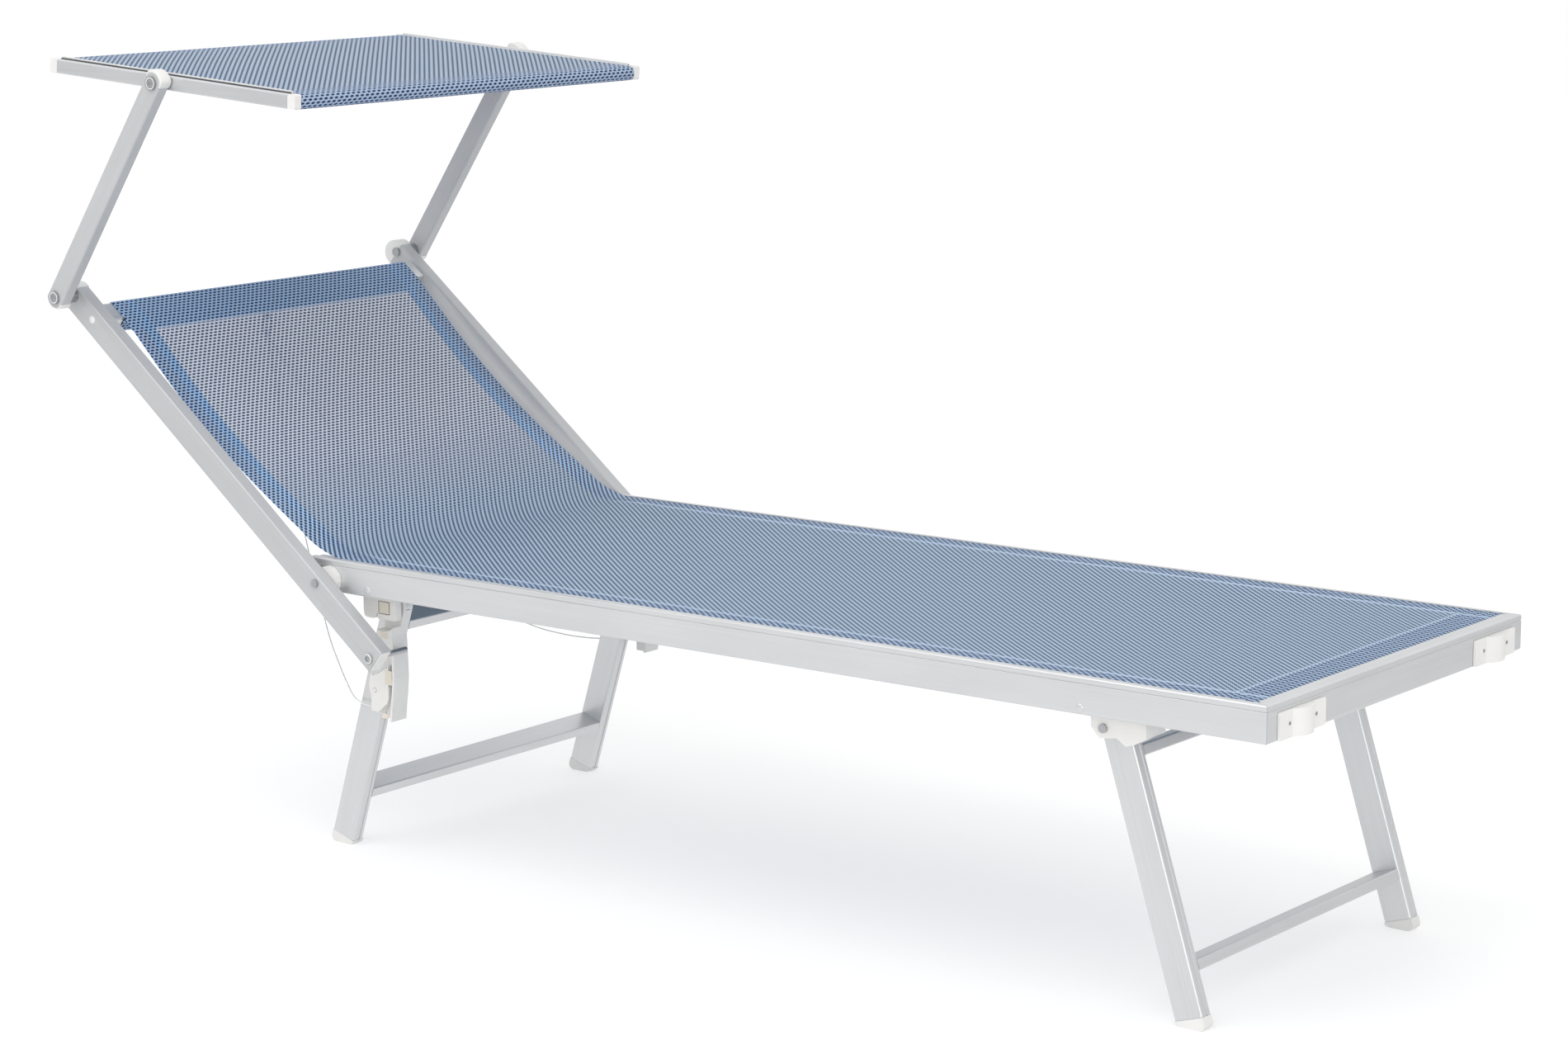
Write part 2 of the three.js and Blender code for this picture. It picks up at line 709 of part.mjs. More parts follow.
function backrestSling() {
  const loop = roundedRectangle(crossbarAlong + 2 * (seatGap + slingThickness),
    crossbarHeight + 2 * (seatGap + slingThickness), tubeCorner + slingThickness);
  loop.holes.push(roundedRectangle(crossbarAlong + 2 * seatGap, crossbarHeight + 2 * seatGap, tubeCorner));
  const wrap = sidePrism(loop, -slingHalf, slingHalf).translate(-crossbarReach, 0, crossbarTop - crossbarHeight / 2);
  const cloth = box(-crossbarReach, -bendReach, -slingHalf, slingHalf, slingLift, slingLift + slingThickness);
  return join(wrap, cloth);
}

for (const [name, side] of sides) {
  backrest.add(piece(`backrest_tube_${name}`, backrestTube(side), 'aluminium'));
  const pin = turned([
    [latchPinInner, boltRadius],
    [backTubeOuter + seatGap, smallHeadRadius],
  ], backTubeOuter + seatGap + headHeight, side).translate(latchPinReach, 0, -latchPinDrop);
  backrest.add(piece(`latch_pin_${name}`, pin, 'steel'));
  const armBolt = turned([
    [backTubeInner - headHeight - seatGap, headRadius],
    [backTubeInner - seatGap, boltRadius],
    [backTubeOuter + seatGap, collarRadius],
    [armInner - seatGap, boltRadius],
    [armOuter + seatGap, washerRadius],
  ], armOuter + seatGap + headHeight, side).translate(-armPivotReach, 0, -armPivotDrop);
  backrest.add(piece(`arm_pivot_${name}`, armBolt, 'steel'));
}
backrest.add(piece('backrest_crossbar', backrestCrossbar(), 'aluminium'));
backrest.add(piece('backrest_sling', backrestSling(), 'fabric'));

// Pull ring on its clip under the crossbar, in the bed frame's own directions

const crossbarMiddle = onBackrest(crossbarReach, crossbarTop - crossbarHeight / 2);
const ringCentre = { x: crossbarMiddle.x, z: crossbarMiddle.y - crossbarAlong / 2 - ringDrop };
const ringStretch = (ringHeight - ringWire) / (ringWidth - ringWire);
const ringTopZ = ringCentre.z + (ringHeight - ringWire) / 2;

function pullRing() {
  return new THREE.TorusGeometry((ringWidth - ringWire) / 2, ringWire / 2, circleSteps, latheSides)
    .scale(1, ringStretch, 1).rotateX(Math.PI / 2).rotateZ(Math.PI / 2)
    .translate(ringCentre.x, 0, ringCentre.z);
}

function ringClip() {
  // the tab hangs from the crossbar's lower face, so its top edge follows the backrest's slope
  const corner = (reach, lift) => onBackrest(reach, lift).toArray();
  const face = crossbarTop - crossbarHeight - seatGap - slingThickness - seatGap;
  const outline = polygon([
    corner(crossbarReach - clipWidth / 2, face),
    corner(crossbarReach + clipWidth / 2, face),
    [ringCentre.x - clipWidth / 2, ringTopZ],
    [ringCentre.x, ringTopZ - clipWidth / 2],
    [ringCentre.x + clipWidth / 2, ringTopZ],
  ]);
  return cut(sidePrism(outline, -clipThickness / 2, clipThickness / 2),
    crossRod(clipHole, -clipThickness, clipThickness, ringCentre.x, ringTopZ));
}

// Canopy arms, drawn up from their lower pivots

for (const [name, side] of sides) {
  const arm = roundEndTube({
    width: armWidth,
    thickness: armThickness,
    corner: armCorner,
    wall: tubeWall,
    low: 0,
    high: armSpan,
    lowRound: true,
    holes: [[0, 0], [0, armSpan]],
  }).translate(0, side * (armInner + armThickness / 2), 0);
  canopyArms.add(piece(`arm_${name}`, arm, 'aluminium'));
  const bolt = turned([
    [canopyRailInner - headHeight - seatGap, headRadius],
    [canopyRailInner - seatGap, boltRadius],
    [canopyRailOuter + seatGap, collarRadius],
    [armInner - seatGap, boltRadius],
    [armOuter + seatGap, washerRadius],
  ], armOuter + seatGap + headHeight, side).translate(0, 0, armSpan);
  canopyArms.add(piece(`canopy_pivot_${name}`, bolt, 'steel'));
}

// Canopy, drawn about its pivots with local X towards the foot end

const canopyHead = -canopyHeadReach;
const canopyFoot = canopyLength - canopyHeadReach;

// a section pushed along the canopy's side, between two distances from the pivot
function canopyBar(section, side, low, high) {
  return turnTo(prism(section, high - low), axisZ, axisY, axisX.clone().negate())
    .translate(high, side * (canopyRailInner + canopyRailThickness / 2), 0);
}

function canopyRail(side) {
  const low = canopyHead + canopyCapLength + seatGap;
  const high = canopyFoot - canopyCapLength - seatGap;
  const section = tubeSection(canopyRailHeight, canopyRailThickness, canopyRailCorner, tubeWall);
  return cut(canopyBar(section, side, low, high), sidePlate(circle(boltHole), side,
    canopyRailInner - cutOverrun, canopyRailOuter + cutOverrun, circleSteps));
}

// a corner cap closes a side rail's end, with a stub that reaches into the rail
function cornerCap(side, end) {
  const tip = end > 0 ? canopyFoot : canopyHead;
  const seat = tip - end * canopyCapLength;
  const block = sidePlate(roundedRectangle(canopyCapLength, canopyRailHeight, canopyRailCorner),
    side, canopyRailInner, canopyRailOuter).translate((tip + seat) / 2, 0, 0);
  const reach = seat - end * canopyCapLength;
  const inBlock = seat + end * canopyCapLength / 2;
  const stub = canopyBar(plugSection(canopyRailHeight, canopyRailThickness, canopyRailCorner), side,
    Math.min(reach, inBlock), Math.max(reach, inBlock));
  return join(block, stub);
}

const canopyTubeX = { front: canopyFoot - canopyTubeInset, rear: canopyHead + canopyTubeInset };
const hemRadius = canopyTubeDiameter / 2 + seatGap;

function canopyCrossTube(x) {
  const ring = circle(canopyTubeDiameter / 2);
  ring.holes.push(circle(canopyTubeDiameter / 2 - tubeWall));
  const half = canopyRailInner - seatGap;
  return sidePrism(ring, -half, half, circleSteps).translate(x, 0, -canopyTubeDrop);
}

function canopyFabric() {
  const half = canopyRailInner - 2 * seatGap;
  const loops = Object.values(canopyTubeX).map((x) => {
    const ring = circle(hemRadius + canopyHem);
    ring.holes.push(circle(hemRadius));
    return sidePrism(ring, -half, half, circleSteps).translate(x, 0, -canopyTubeDrop);
  });
  const top = hemRadius + canopyHem - canopyTubeDrop;
  const cloth = box(canopyTubeX.rear, canopyTubeX.front, -half, half, top - slingThickness, top);
  return join(cloth, ...loops);
}

for (const [name, side] of sides) {
  canopy.add(piece(`canopy_rail_${name}`, canopyRail(side), 'aluminium'));
  canopy.add(piece(`canopy_cap_front_${name}`, cornerCap(side, 1), 'plastic'));
  canopy.add(piece(`canopy_cap_rear_${name}`, cornerCap(side, -1), 'plastic'));
}
canopy.add(piece('canopy_front_tube', canopyCrossTube(canopyTubeX.front), 'aluminium'));
canopy.add(piece('canopy_rear_tube', canopyCrossTube(canopyTubeX.rear), 'aluminium'));
canopy.add(piece('canopy_fabric', canopyFabric(), 'fabric'));

// Leg frames, drawn about their pivots with local Z up the legs

// what is taken out of one narrow face of a leg for its lengthwise groove; turn is +1 or -1
function legGroove(turn, legLength) {
  const floorX = legWidth / 2 - legGrooveDepth;
  const openX = legWidth / 2 + cutOverrun;
  return box(Math.min(turn * floorX, turn * openX), Math.max(turn * floorX, turn * openX),
    -legGrooveWidth / 2, legGrooveWidth / 2, -legLength - cutOverrun, 0);
}

function legFrame(group, place, pivot, lean, upperBar, lowerBar, boltHead) {
  const boltSteps = [
    [legInner - headHeight - seatGap, headRadius],
    [legInner - seatGap, boltRadius],
    [boltHead.seat + seatGap, boltHead.radius],
  ];
  const boltEnd = boltHead.seat + seatGap + headHeight;
  const slope = Math.cos(radians(lean));
  const legLength = (pivot.z - footHeight) / slope;
  const floorDrop = pivot.z / slope;
  for (const [name, side] of sides) {
    const tube = roundEndTube({
      width: legWidth,
      thickness: legThickness,
      corner: legCorner,
      wall: tubeWall,
      low: -legLength,
      high: 0,
      lowRound: false,
      holes: [[0, 0]],
    });
    const leg = cut(tube, legGroove(1, legLength), legGroove(-1, legLength))
      .translate(0, side * (legInner + legThickness / 2), 0);
    group.add(piece(`${place}_leg_${name}`, leg, 'aluminium'));
    group.add(piece(`${place}_foot_${name}`, legFoot(side, lean, legLength, floorDrop), 'plastic'));
    group.add(piece(`${place}_leg_pivot_${name}`, turned(boltSteps, boltEnd, side), 'steel'));
  }
  for (const [name, drop] of [['upper', upperBar], ['lower', lowerBar]]) {
    const section = tubeSection(crossTubeWidth, crossTubeHeight, crossTubeCorner, tubeWall);
    const half = legInner - seatGap;
    const bar = sidePrism(section, -half, half).translate(0, 0, -drop);
    group.add(piece(`${place}_${name}_crossbar`, bar, 'aluminium'));
  }
}

// A foot is a plug in the leg's end with a rounded sole, cut level with the floor
const soleShoulderShare = 0.35;
const soleFlatShare = 0.3;

function legFoot(side, lean, legLength, floorDrop) {
  const floorSlope = Math.tan(radians(lean));
  const top = -legLength - seatGap;
  const floorAt = (x) => -floorDrop + x * floorSlope;
  const half = legWidth / 2;
  const shoulder = (x) => top + (floorAt(x) - top) * soleShoulderShare;
  const flat = half * soleFlatShare;
  const sole = new THREE.Shape();
  sole.moveTo(-half, top);
  sole.lineTo(-half, shoulder(-half));
  sole.quadraticCurveTo(-half, floorAt(-half), -flat, floorAt(-flat));
  sole.lineTo(flat, floorAt(flat));
  sole.quadraticCurveTo(half, floorAt(half), half, shoulder(half));
  sole.lineTo(half, top);
  const body = sidePlate(sole, side, legInner, legOuter, circleSteps);
  const plug = prism(plugSection(legWidth, legThickness, legCorner), footPlugLength)
    .translate(0, side * (legInner + legThickness / 2), top - seatGap);
  return join(body, plug);
}

// the rear bolts' heads sit in the pockets of their brackets
legFrame(rearLegs, 'rear', rearPivot, rearLegLean, rearUpperBar, rearLowerBar,
  { seat: bracketOuter - pocketDepth, radius: smallHeadRadius - seatGap });
legFrame(frontLegs, 'front', frontPivot, -frontLegLean, frontUpperBar, frontLowerBar,
  { seat: bracketOuter, radius: smallHeadRadius });

// Racks and latch levers on the outer faces of the rear legs. The backrest's latch pin travels on
// an arc about the backrest pivot, so the toothed edge of the lever and the gaps in the rack are
// drawn about that pivot too, in the bed frame's own directions.

const fittings = new THREE.Group();
rearLegs.add(fittings);
fittings.rotation.y = -rearLegs.rotation.y;
const rackLeft = -rackRearReach;
const rackBottom = -rackBelowPivot;
const rackStepShare = [0.81, 0.575];
const rackWaistShare = [0.78, 0.73];
const rackNeckShare = [0.86, 0.82];
const rackTipShare = [1, 0.93];
const rackFrontShares = [
  [0.64, 0], [0.7, 0.12], [0.79, 0.25], [0.835, 0.375], [0.82, 0.5],
  rackStepShare, rackWaistShare, rackNeckShare, rackTipShare,
];
const rackRearShares = [[1, 1], [0.1, 1.03], [0, 0.97], [0, 0.5], [0, 0]];
const rackPoint = ([across, up]) => [rackLeft + across * rackWidth, rackBottom + up * rackHeight];
const leverPivot = { x: -leverPivotReach, z: -leverPivotBelow };
const backFromRear = { x: backPivot.x - rearPivot.x, z: backPivot.z - rearPivot.z };
const pinCircle = Math.hypot(latchPinReach, latchPinDrop);
const leverArc = pinCircle + boltRadius + pinClear;

// the rack's front flange between two heights above its bottom
function flangeStrip(low, high) {
  const front = rackFrontShares.map(rackPoint);
  const at = (z) => {
    const i = Math.max(1, front.findIndex((p) => p[1] >= z));
    const [a, b] = [front[i - 1], front[i]];
    return a[0] + (b[0] - a[0]) * (z - a[1]) / (b[1] - a[1]);
  };
  const between = front.filter((p) => p[1] > low && p[1] < high);
  const edge = [[at(low), low], ...between, [at(high), high]];
  return polygon([...edge, ...edge.map(([x, z]) => [x - flangeThickness, z]).reverse()]);
}

function rack(side) {
  const baseInner = legOuter + seatGap;
  const baseOuter = baseInner + rackBase;
  const outline = polygon([...rackFrontShares, ...rackRearShares].map(rackPoint));
  const base = sidePlate(outline, side, baseInner, baseOuter);
  const ear = sidePlate(circle(leverEarRadius, leverPivot.x, leverPivot.z), side, baseInner, baseOuter, circleSteps);
  const stud = sidePlate(circle(leverPivotRadius, leverPivot.x, leverPivot.z), side, baseInner, rackOuter, circleSteps);
  const [, flangeTop] = rackPoint(rackTipShare);
  const flange = sidePlate(flangeStrip(rackBottom, flangeTop), side, flangeInner, baseOuter);
  const lowerFlange = sidePlate(flangeStrip(rackBottom, rackBottom + lowerFlangeHeight), side, baseInner, rackOuter);
  const [blockFront] = rackPoint(rackStepShare);
  const block = sidePlate(polygon([
    [rackLeft, -upperBlockBottom], [blockFront, -upperBlockBottom],
    rackPoint(rackWaistShare), rackPoint(rackNeckShare), [rackLeft, 0],
  ]), side, baseInner, rackOuter);
  const clearing = sidePlate(circle(rackPivotClear), side, baseOuter, rackOuter + cutOverrun, circleSteps);
  const drill = sidePlate(circle(boltHole), side, baseInner - cutOverrun, rackOuter + cutOverrun, circleSteps);
  return cut(join(base, ear, stud, flange, lowerFlange, cut(block, clearing)), drill);
}

const leverShares = [
  [0, 0.55], [0.11, 0.31], [0.113, 0.01], [0.436, 0], [0.88, 0.207], [0.97, 0.325], [0.97, 0.945],
];

function latchLever(side) {
  const arcPoint = (angle, radius) => [
    backFromRear.x + radius * Math.cos(radians(angle)),
    backFromRear.z + radius * Math.sin(radians(angle)),
  ];
  const pitch = (leverArcEnd - leverArcStart) / (leverTeeth + 1);
  const points = [arcPoint(leverArcStart, leverArc)];
  for (let tooth = 1; tooth <= leverTeeth; tooth++) {
    const root = leverArcStart + tooth * pitch;
    points.push(arcPoint(root, leverArc + toothDepth), arcPoint(root + pitch / 2, leverArc));
  }
  points.push(arcPoint(leverArcEnd, leverArc));
  const width = leverHeelReach + points[0][0];
  const bottom = -leverTailBelow;
  const height = points[0][1] - bottom;
  points.push(...outlineFromShares(leverShares, -leverHeelReach, bottom, width, height));
  const inner = legOuter + seatGap + rackBase + seatGap;
  const plate = sidePlate(polygon(points), side, inner, inner + leverThickness);
  const bore = sidePlate(circle(leverPivotRadius + 2 * seatGap, leverPivot.x, leverPivot.z), side,
    inner - cutOverrun, rackOuter + cutOverrun, circleSteps);
  return cut(plate, bore);
}

for (const [name, side] of sides) {
  fittings.add(piece(`rack_${name}`, rack(side), 'plastic'));
  fittings.add(piece(`latch_lever_${name}`, latchLever(side), 'plastic'));
}

lounger.add(piece('pull_ring', pullRing(), 'plastic'));
lounger.add(piece('ring_clip', ringClip(), 'plastic'));

// The lounger's middle goes over the origin, measured without the free cord
const extent = new THREE.Box3().setFromObject(lounger, true);
lounger.position.x = -(extent.min.x + extent.max.x) / 2;

// Pull cord: from the right lever's tail, slack behind the leg and up to the ring, through the
// ring, and down again to the left lever. The route is a list of places chosen by hand.
const cordRoute = [
  [-1427.7, -276.6, 210.5], [-1440, -275, 209.3], [-1457, -270.8, 210.2], [-1476, -265.5, 213.5],
  [-1517, -240, 225], [-1558, -213.8, 243], [-1600, -187.7, 268], [-1652, -154.3, 315],
  [-1705, -120.7, 371], [-1754, -89.6, 430], [-1803, -58.5, 493], [-1848, -30, 562],
  [-1878, -11.5, 618], [-1890, -5.2, 646], [-1893.7, -2.8, 656.5], [-1895.3, -1.5, 661.6],
  [-1898.6, 0, 664.2], [-1901.9, 1.4, 661.6], [-1903.4, 2.9, 656.5], [-1901.8, 4.8, 651],
  [-1896.5, 6.8, 645.5], [-1884, 11, 628], [-1841, 34.3, 556], [-1776, 75.7, 430],
  [-1699, 124.3, 322], [-1637, 163.8, 262], [-1568, 207.6, 221.8], [-1530, 232.3, 209.5],
  [-1503, 249.6, 204.8], [-1484, 261, 203.8], [-1468, 268.5, 204.3], [-1452, 273, 206.2],
  [-1439, 275.8, 208.8], [-1427.7, 276.6, 210.5],
];

// sampled at the places themselves and once between them, so that the small loop keeps its form
class CordCurve extends THREE.CatmullRomCurve3 {
  getUtoTmapping(share) {
    return share;
  }
}

const cordPath = new CordCurve(cordRoute.map(([x, y, z]) => new THREE.Vector3(x, y, z)), false, 'centripetal');
const cordSection = polygon(spread(0, 2 * Math.PI, cordSides).slice(1).map((angle) => [
  cordDiameter / 2 * Math.cos(angle), cordDiameter / 2 * Math.sin(angle),
]));
const pullCord = new THREE.ExtrudeGeometry(cordSection, {
  steps: cordHalfSteps * (cordRoute.length - 1), bevelEnabled: false, extrudePath: cordPath,
});
lounger.add(piece('pull_cord', pullCord, 'cord'));

export default lounger;
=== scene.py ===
import json
import math
from bisect import bisect_left
import bpy
import bmesh
from mathutils import Matrix, Vector


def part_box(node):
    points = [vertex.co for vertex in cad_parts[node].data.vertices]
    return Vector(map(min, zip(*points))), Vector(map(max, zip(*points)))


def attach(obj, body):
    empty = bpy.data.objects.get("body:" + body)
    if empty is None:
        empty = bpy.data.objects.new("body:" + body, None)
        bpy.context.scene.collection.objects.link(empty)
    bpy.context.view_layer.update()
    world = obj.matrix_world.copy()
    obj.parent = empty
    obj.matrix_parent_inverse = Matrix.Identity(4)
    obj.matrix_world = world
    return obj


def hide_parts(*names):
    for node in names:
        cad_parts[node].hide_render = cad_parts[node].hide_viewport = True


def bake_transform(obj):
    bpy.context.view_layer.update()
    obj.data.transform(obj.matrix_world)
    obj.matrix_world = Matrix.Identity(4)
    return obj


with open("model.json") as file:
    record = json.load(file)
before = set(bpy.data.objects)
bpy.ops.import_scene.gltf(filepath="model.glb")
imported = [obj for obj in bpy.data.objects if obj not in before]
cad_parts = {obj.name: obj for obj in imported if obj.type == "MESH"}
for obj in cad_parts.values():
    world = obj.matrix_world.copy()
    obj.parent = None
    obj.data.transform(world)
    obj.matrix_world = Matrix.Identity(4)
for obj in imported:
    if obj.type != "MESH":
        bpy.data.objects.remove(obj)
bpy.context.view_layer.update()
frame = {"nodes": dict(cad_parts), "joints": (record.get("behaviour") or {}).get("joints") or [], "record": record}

mm = 0.001
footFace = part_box("foot_rail")[1][0]          # the outer face of the foot rail
sides = (-1, 1)                               # right and left
# how each body lies in the side view at rest, in degrees: the legs are measured from upright
slopes = {"backrest": 38.3, "arms": 55.1, "canopy": 4, "rearLegs": 17.6, "frontLegs": 17.5}


def newObject(name, data):
    item = bpy.data.objects.new(name, data)
    bpy.context.scene.collection.objects.link(item)
    return item


def jointPlace(name):
    return Vector(next(j["pos_m"] for j in frame["joints"] if j["name"] == name))


def turnedFrame(pivot, degrees):              # a body's own axes, leaned in the side view
    return Matrix.Translation(pivot) @ Matrix.Rotation(math.radians(degrees), 4, "Y")


def inFrame(bodyFrame, x, y, z):              # a point of a body's own frame, given in mm
    return bodyFrame @ Vector((x * mm, y * mm, z * mm))


backrestFrame = turnedFrame(jointPlace("backrest_recline"), slopes["backrest"])
armFrame = turnedFrame(jointPlace("canopy_arm_swing"), 90 - slopes["arms"])
canopyFrame = turnedFrame(jointPlace("canopy_tilt"), slopes["canopy"])

# camera: fitted to the frame's corners and pivots in the photograph
view = {"place": (3.0711, -3.8815, 1.3962), "azimuth": -37.9494, "elevation": 10.6565, "roll": -0.4189,
        "lens": 86.02, "sensor": 36}


def addCamera():
    az, el, roll = (math.radians(view[k]) for k in ("azimuth", "elevation", "roll"))
    ahead = Vector((math.sin(az) * math.cos(el), math.cos(az) * math.cos(el), -math.sin(el)))
    right = Vector((math.cos(az), -math.sin(az), 0))
    up = right.cross(ahead)
    rightRolled = math.cos(roll) * right + math.sin(roll) * up
    upRolled = math.cos(roll) * up - math.sin(roll) * right
    camera = newObject("camera", bpy.data.cameras.new("camera"))
    camera.data.sensor_width = view["sensor"]
    camera.data.lens = view["lens"]
    turn = Matrix((rightRolled, upRolled, -ahead)).transposed().to_4x4()
    camera.matrix_world = Matrix.Translation(view["place"]) @ turn
    bpy.context.scene.camera = camera


addCamera()
print("camera placed")


# small tools
touching = 1e-6                               # points nearer than this are one
hair = 1e-9                                   # a length that only guards a division


def linear(hexColour):                        # an sRGB hex value as linear red, green, blue and alpha
    channels = [int(hexColour[i:i + 2], 16) / 255 for i in (1, 3, 5)]
    return tuple(c / 12.92 if c <= 0.04045 else ((c + 0.055) / 1.055) ** 2.4 for c in channels) + (1.0,)


def fillInputs(node, inputs):                 # links a socket, or sets a plain value
    for key, value in inputs.items():
        if isinstance(value, bpy.types.NodeSocket):
            node.id_data.links.new(value, node.inputs[key])
        else:
            node.inputs[key].default_value = value


def addNode(tree, kind, settings=None, inputs=None, output=0):
    # adds a node with its settings and links, and gives one of its outputs
    node = tree.nodes.new(kind)
    for name, value in (settings or {}).items():
        setattr(node, name, value)
    fillInputs(node, inputs or {})
    return node.outputs[output] if node.outputs else node


def newMaterial(name):
    material = bpy.data.materials.new(name)
    material.use_nodes = True
    tree = material.node_tree
    tree.nodes.clear()
    shader = addNode(tree, "ShaderNodeBsdfPrincipled")
    addNode(tree, "ShaderNodeOutputMaterial", None, {0: shader})
    return material, tree, shader.node


def meshPiece(name, points, faces, material, smooth=True):
    mesh = bpy.data.meshes.new(name)
    mesh.from_pydata([tuple(p) for p in points], [], faces)
    mesh.materials.append(material)
    mesh.validate()
    if smooth:
        mesh.shade_smooth()
    return newObject(name, mesh)


def applied(piece):                           # bakes the modifiers in and leaves a plain mesh
    bpy.context.view_layer.update()
    graph = bpy.context.evaluated_depsgraph_get()
    mesh = bpy.data.meshes.new_from_object(piece.evaluated_get(graph), preserve_all_data_layers=True,
                                           depsgraph=graph)
    piece.modifiers.clear()
    piece.data = mesh
    return piece


def outward(piece):                           # merges doubles and turns every face outwards
    shape = bmesh.new()
    shape.from_mesh(piece.data)
    bmesh.ops.remove_doubles(shape, verts=shape.verts, dist=touching)
    bmesh.ops.recalc_face_normals(shape, faces=shape.faces)
    shape.to_mesh(piece.data)
    shape.free()
    return piece


def bevelled(piece, width, segments):         # rounds the sharp edges by a width in mm
    bevel = outward(piece).modifiers.new("edges", "BEVEL")
    bevel.width = width * mm
    bevel.segments = segments
    return applied(piece)


def carried(piece, body):
    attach(piece, body)
    return piece


def lerp(a, b, share):
    return a + (b - a) * share


def kept(value, low=0.0, high=1.0):
    return min(high, max(low, value))


def smoothRise(value, low, high):
    share = kept((value - low) / (high - low))
    return share * share * (3 - 2 * share)


def reachAlong(points):                       # the length of a line up to each of its points
    reach = [0.0]
    for a, b in zip(points, points[1:]):
        reach.append(reach[-1] + (b - a).length)
    return reach


def pointAt(points, reach, stop):             # the point of a line at a length along it
    j = kept(bisect_left(reach, stop - hair), 1, len(reach) - 1) - 1
    return points[j].lerp(points[j + 1], kept((stop - reach[j]) / max(reach[j + 1] - reach[j], hair)))


def arc(centre, radius, start, sweep, count):
    # points (x, z) of an arc in the side view, with its angles in degrees
    angles = [math.radians(start + sweep * k / count) for k in range(count + 1)]
    return [(centre[0] + radius * math.cos(a), centre[1] + radius * math.sin(a)) for a in angles]


# materials
noiseDetail = 3.0                             # octaves in all the soft patches

# satin anodised aluminium: drawn lengthwise, then etched and anodised, so it gives a soft pale grey
# that is partly matt, with fine die lines along each bar. The lines are really under 0.1 mm apart
# and are drawn about 1 mm apart, so that they show.
# The tubes of the backrest and the arms get a darker copy of the same aluminium: painted shade, for the darker
# look these tubes have in this light beside the rails and legs.
# lines and smears: how far they are drawn out along the bar, their scale and their detail
aluminium = {
    # the second pair is the same aluminium painted darker, as shade, for the backrest's tubes and the arms
    "bright": ("#cfd0d2", "#dedfe0"), "shadedCopy": ("#b2b3b5", "#c1c2c4"), "roughness": (0.3, 0.4),
    "lines": (0.004, 900.0, noiseDetail), "smears": (0.25, 26.0, 4.0), "smearShare": 0.5,
    "contrast": (-0.45, 1.45), "bump": 0.02, "bumpDepth": 0.3,
}


def drawnAluminium(name, shade, metallic, lean, plan):
    m = aluminium
    material, tree, surface = newMaterial("anodisedAluminium" + name)
    turn = (0, math.radians(lean), math.radians(plan))
    place = addNode(tree, "ShaderNodeTexCoord", output="Object")
    turned = addNode(tree, "ShaderNodeMapping", None, {"Vector": place, "Rotation": turn})
    marks = []
    for stretch, scale, detail in (m["lines"], m["smears"]):
        long = addNode(tree, "ShaderNodeMapping", None, {"Vector": turned, "Scale": (stretch, 1, 1)})
        marks.append(addNode(tree, "ShaderNodeTexNoise", None,
                             {"Vector": long, "Scale": scale, "Detail": detail}))
    lines, smears = marks
    both = addNode(tree, "ShaderNodeMix", {"data_type": "FLOAT"},
                   {0: m["smearShare"], 2: lines, 3: smears})
    low, high = m["contrast"]
    share = addNode(tree, "ShaderNodeMapRange", None, {"Value": both, "To Min": low, "To Max": high})
    deep, pale = m[shade]
    colour = addNode(tree, "ShaderNodeMix", {"data_type": "RGBA"},
                     {0: share, 6: linear(deep), 7: linear(pale)}, 2)
    low, high = m["roughness"]
    matt = addNode(tree, "ShaderNodeMapRange", None, {"Value": smears, "To Min": low, "To Max": high})
    bump = addNode(tree, "ShaderNodeBump", None,
                   {"Strength": m["bump"], "Distance": m["bumpDepth"] * mm, "Height": lines})
    fillInputs(surface, {"Base Color": colour, "Roughness": matt, "Normal": bump, "Metallic": metallic})
    return material


# the bars of each direction: their name, their shade, how metallic they look, and the turns in the
# side view and in the plan, in degrees, that lay the die lines along them
bars = {
    "x": ("Rails", "bright", 0.72, 0, 0), "y": ("Crossbars", "bright", 0.72, 0, 90),
    # the backrest's tubes and the arms take the darker pair of the aluminium: painted shade
    "backrest": ("Backrest", "shadedCopy", 0.1, -slopes["backrest"], 0),
    "arms": ("Arms", "shadedCopy", 0.0, slopes["arms"], 0),
    "rearLegs": ("RearLegs", "bright", 0.72, 90 - slopes["rearLegs"], 0),
    "frontLegs": ("FrontLegs", "bright", 0.72, slopes["frontLegs"] - 90, 0),
}
lengthwise = {run: drawnAluminium(*bar) for run, bar in bars.items()}

# zinc-plated steel: pressed screw and rivet heads, sharper than the aluminium, with small dull
# patches from handling
plating = {"shades": ("#94979b", "#d0d2d4"), "roughness": (0.2, 0.45), "patches": 700.0,
           "surface": {"Metallic": 1.0}}
# injection-moulded polypropylene: white and faintly cloudy, with a fine spark-eroded grain of
# about 0.3 mm and a soft gloss. grain: its scale, detail, strength and depth in mm
plastic = {"shades": ("#dddcda", "#e6e5e3"), "roughness": (0.34, 0.48), "patches": 45.0,
           "grain": (2600.0, 2.0, 0.12, 0.2),
           "surface": {"IOR": 1.49, "Subsurface Weight": 0.06, "Subsurface Radius": (0.004, 0.004, 0.004)}}
# the same plastic where light hardly reaches it: the floor of a pocket, which looks a warm grey, and
# the dark line beside the canopy's rails
pocketShade = {"shades": ("#d6cebf", "#e0dacd"), "roughness": (0.6, 0.6), "patches": 180.0, "surface": {}}
shadedEdge = {**pocketShade, "shades": ("#3c4046", "#4c5158")}


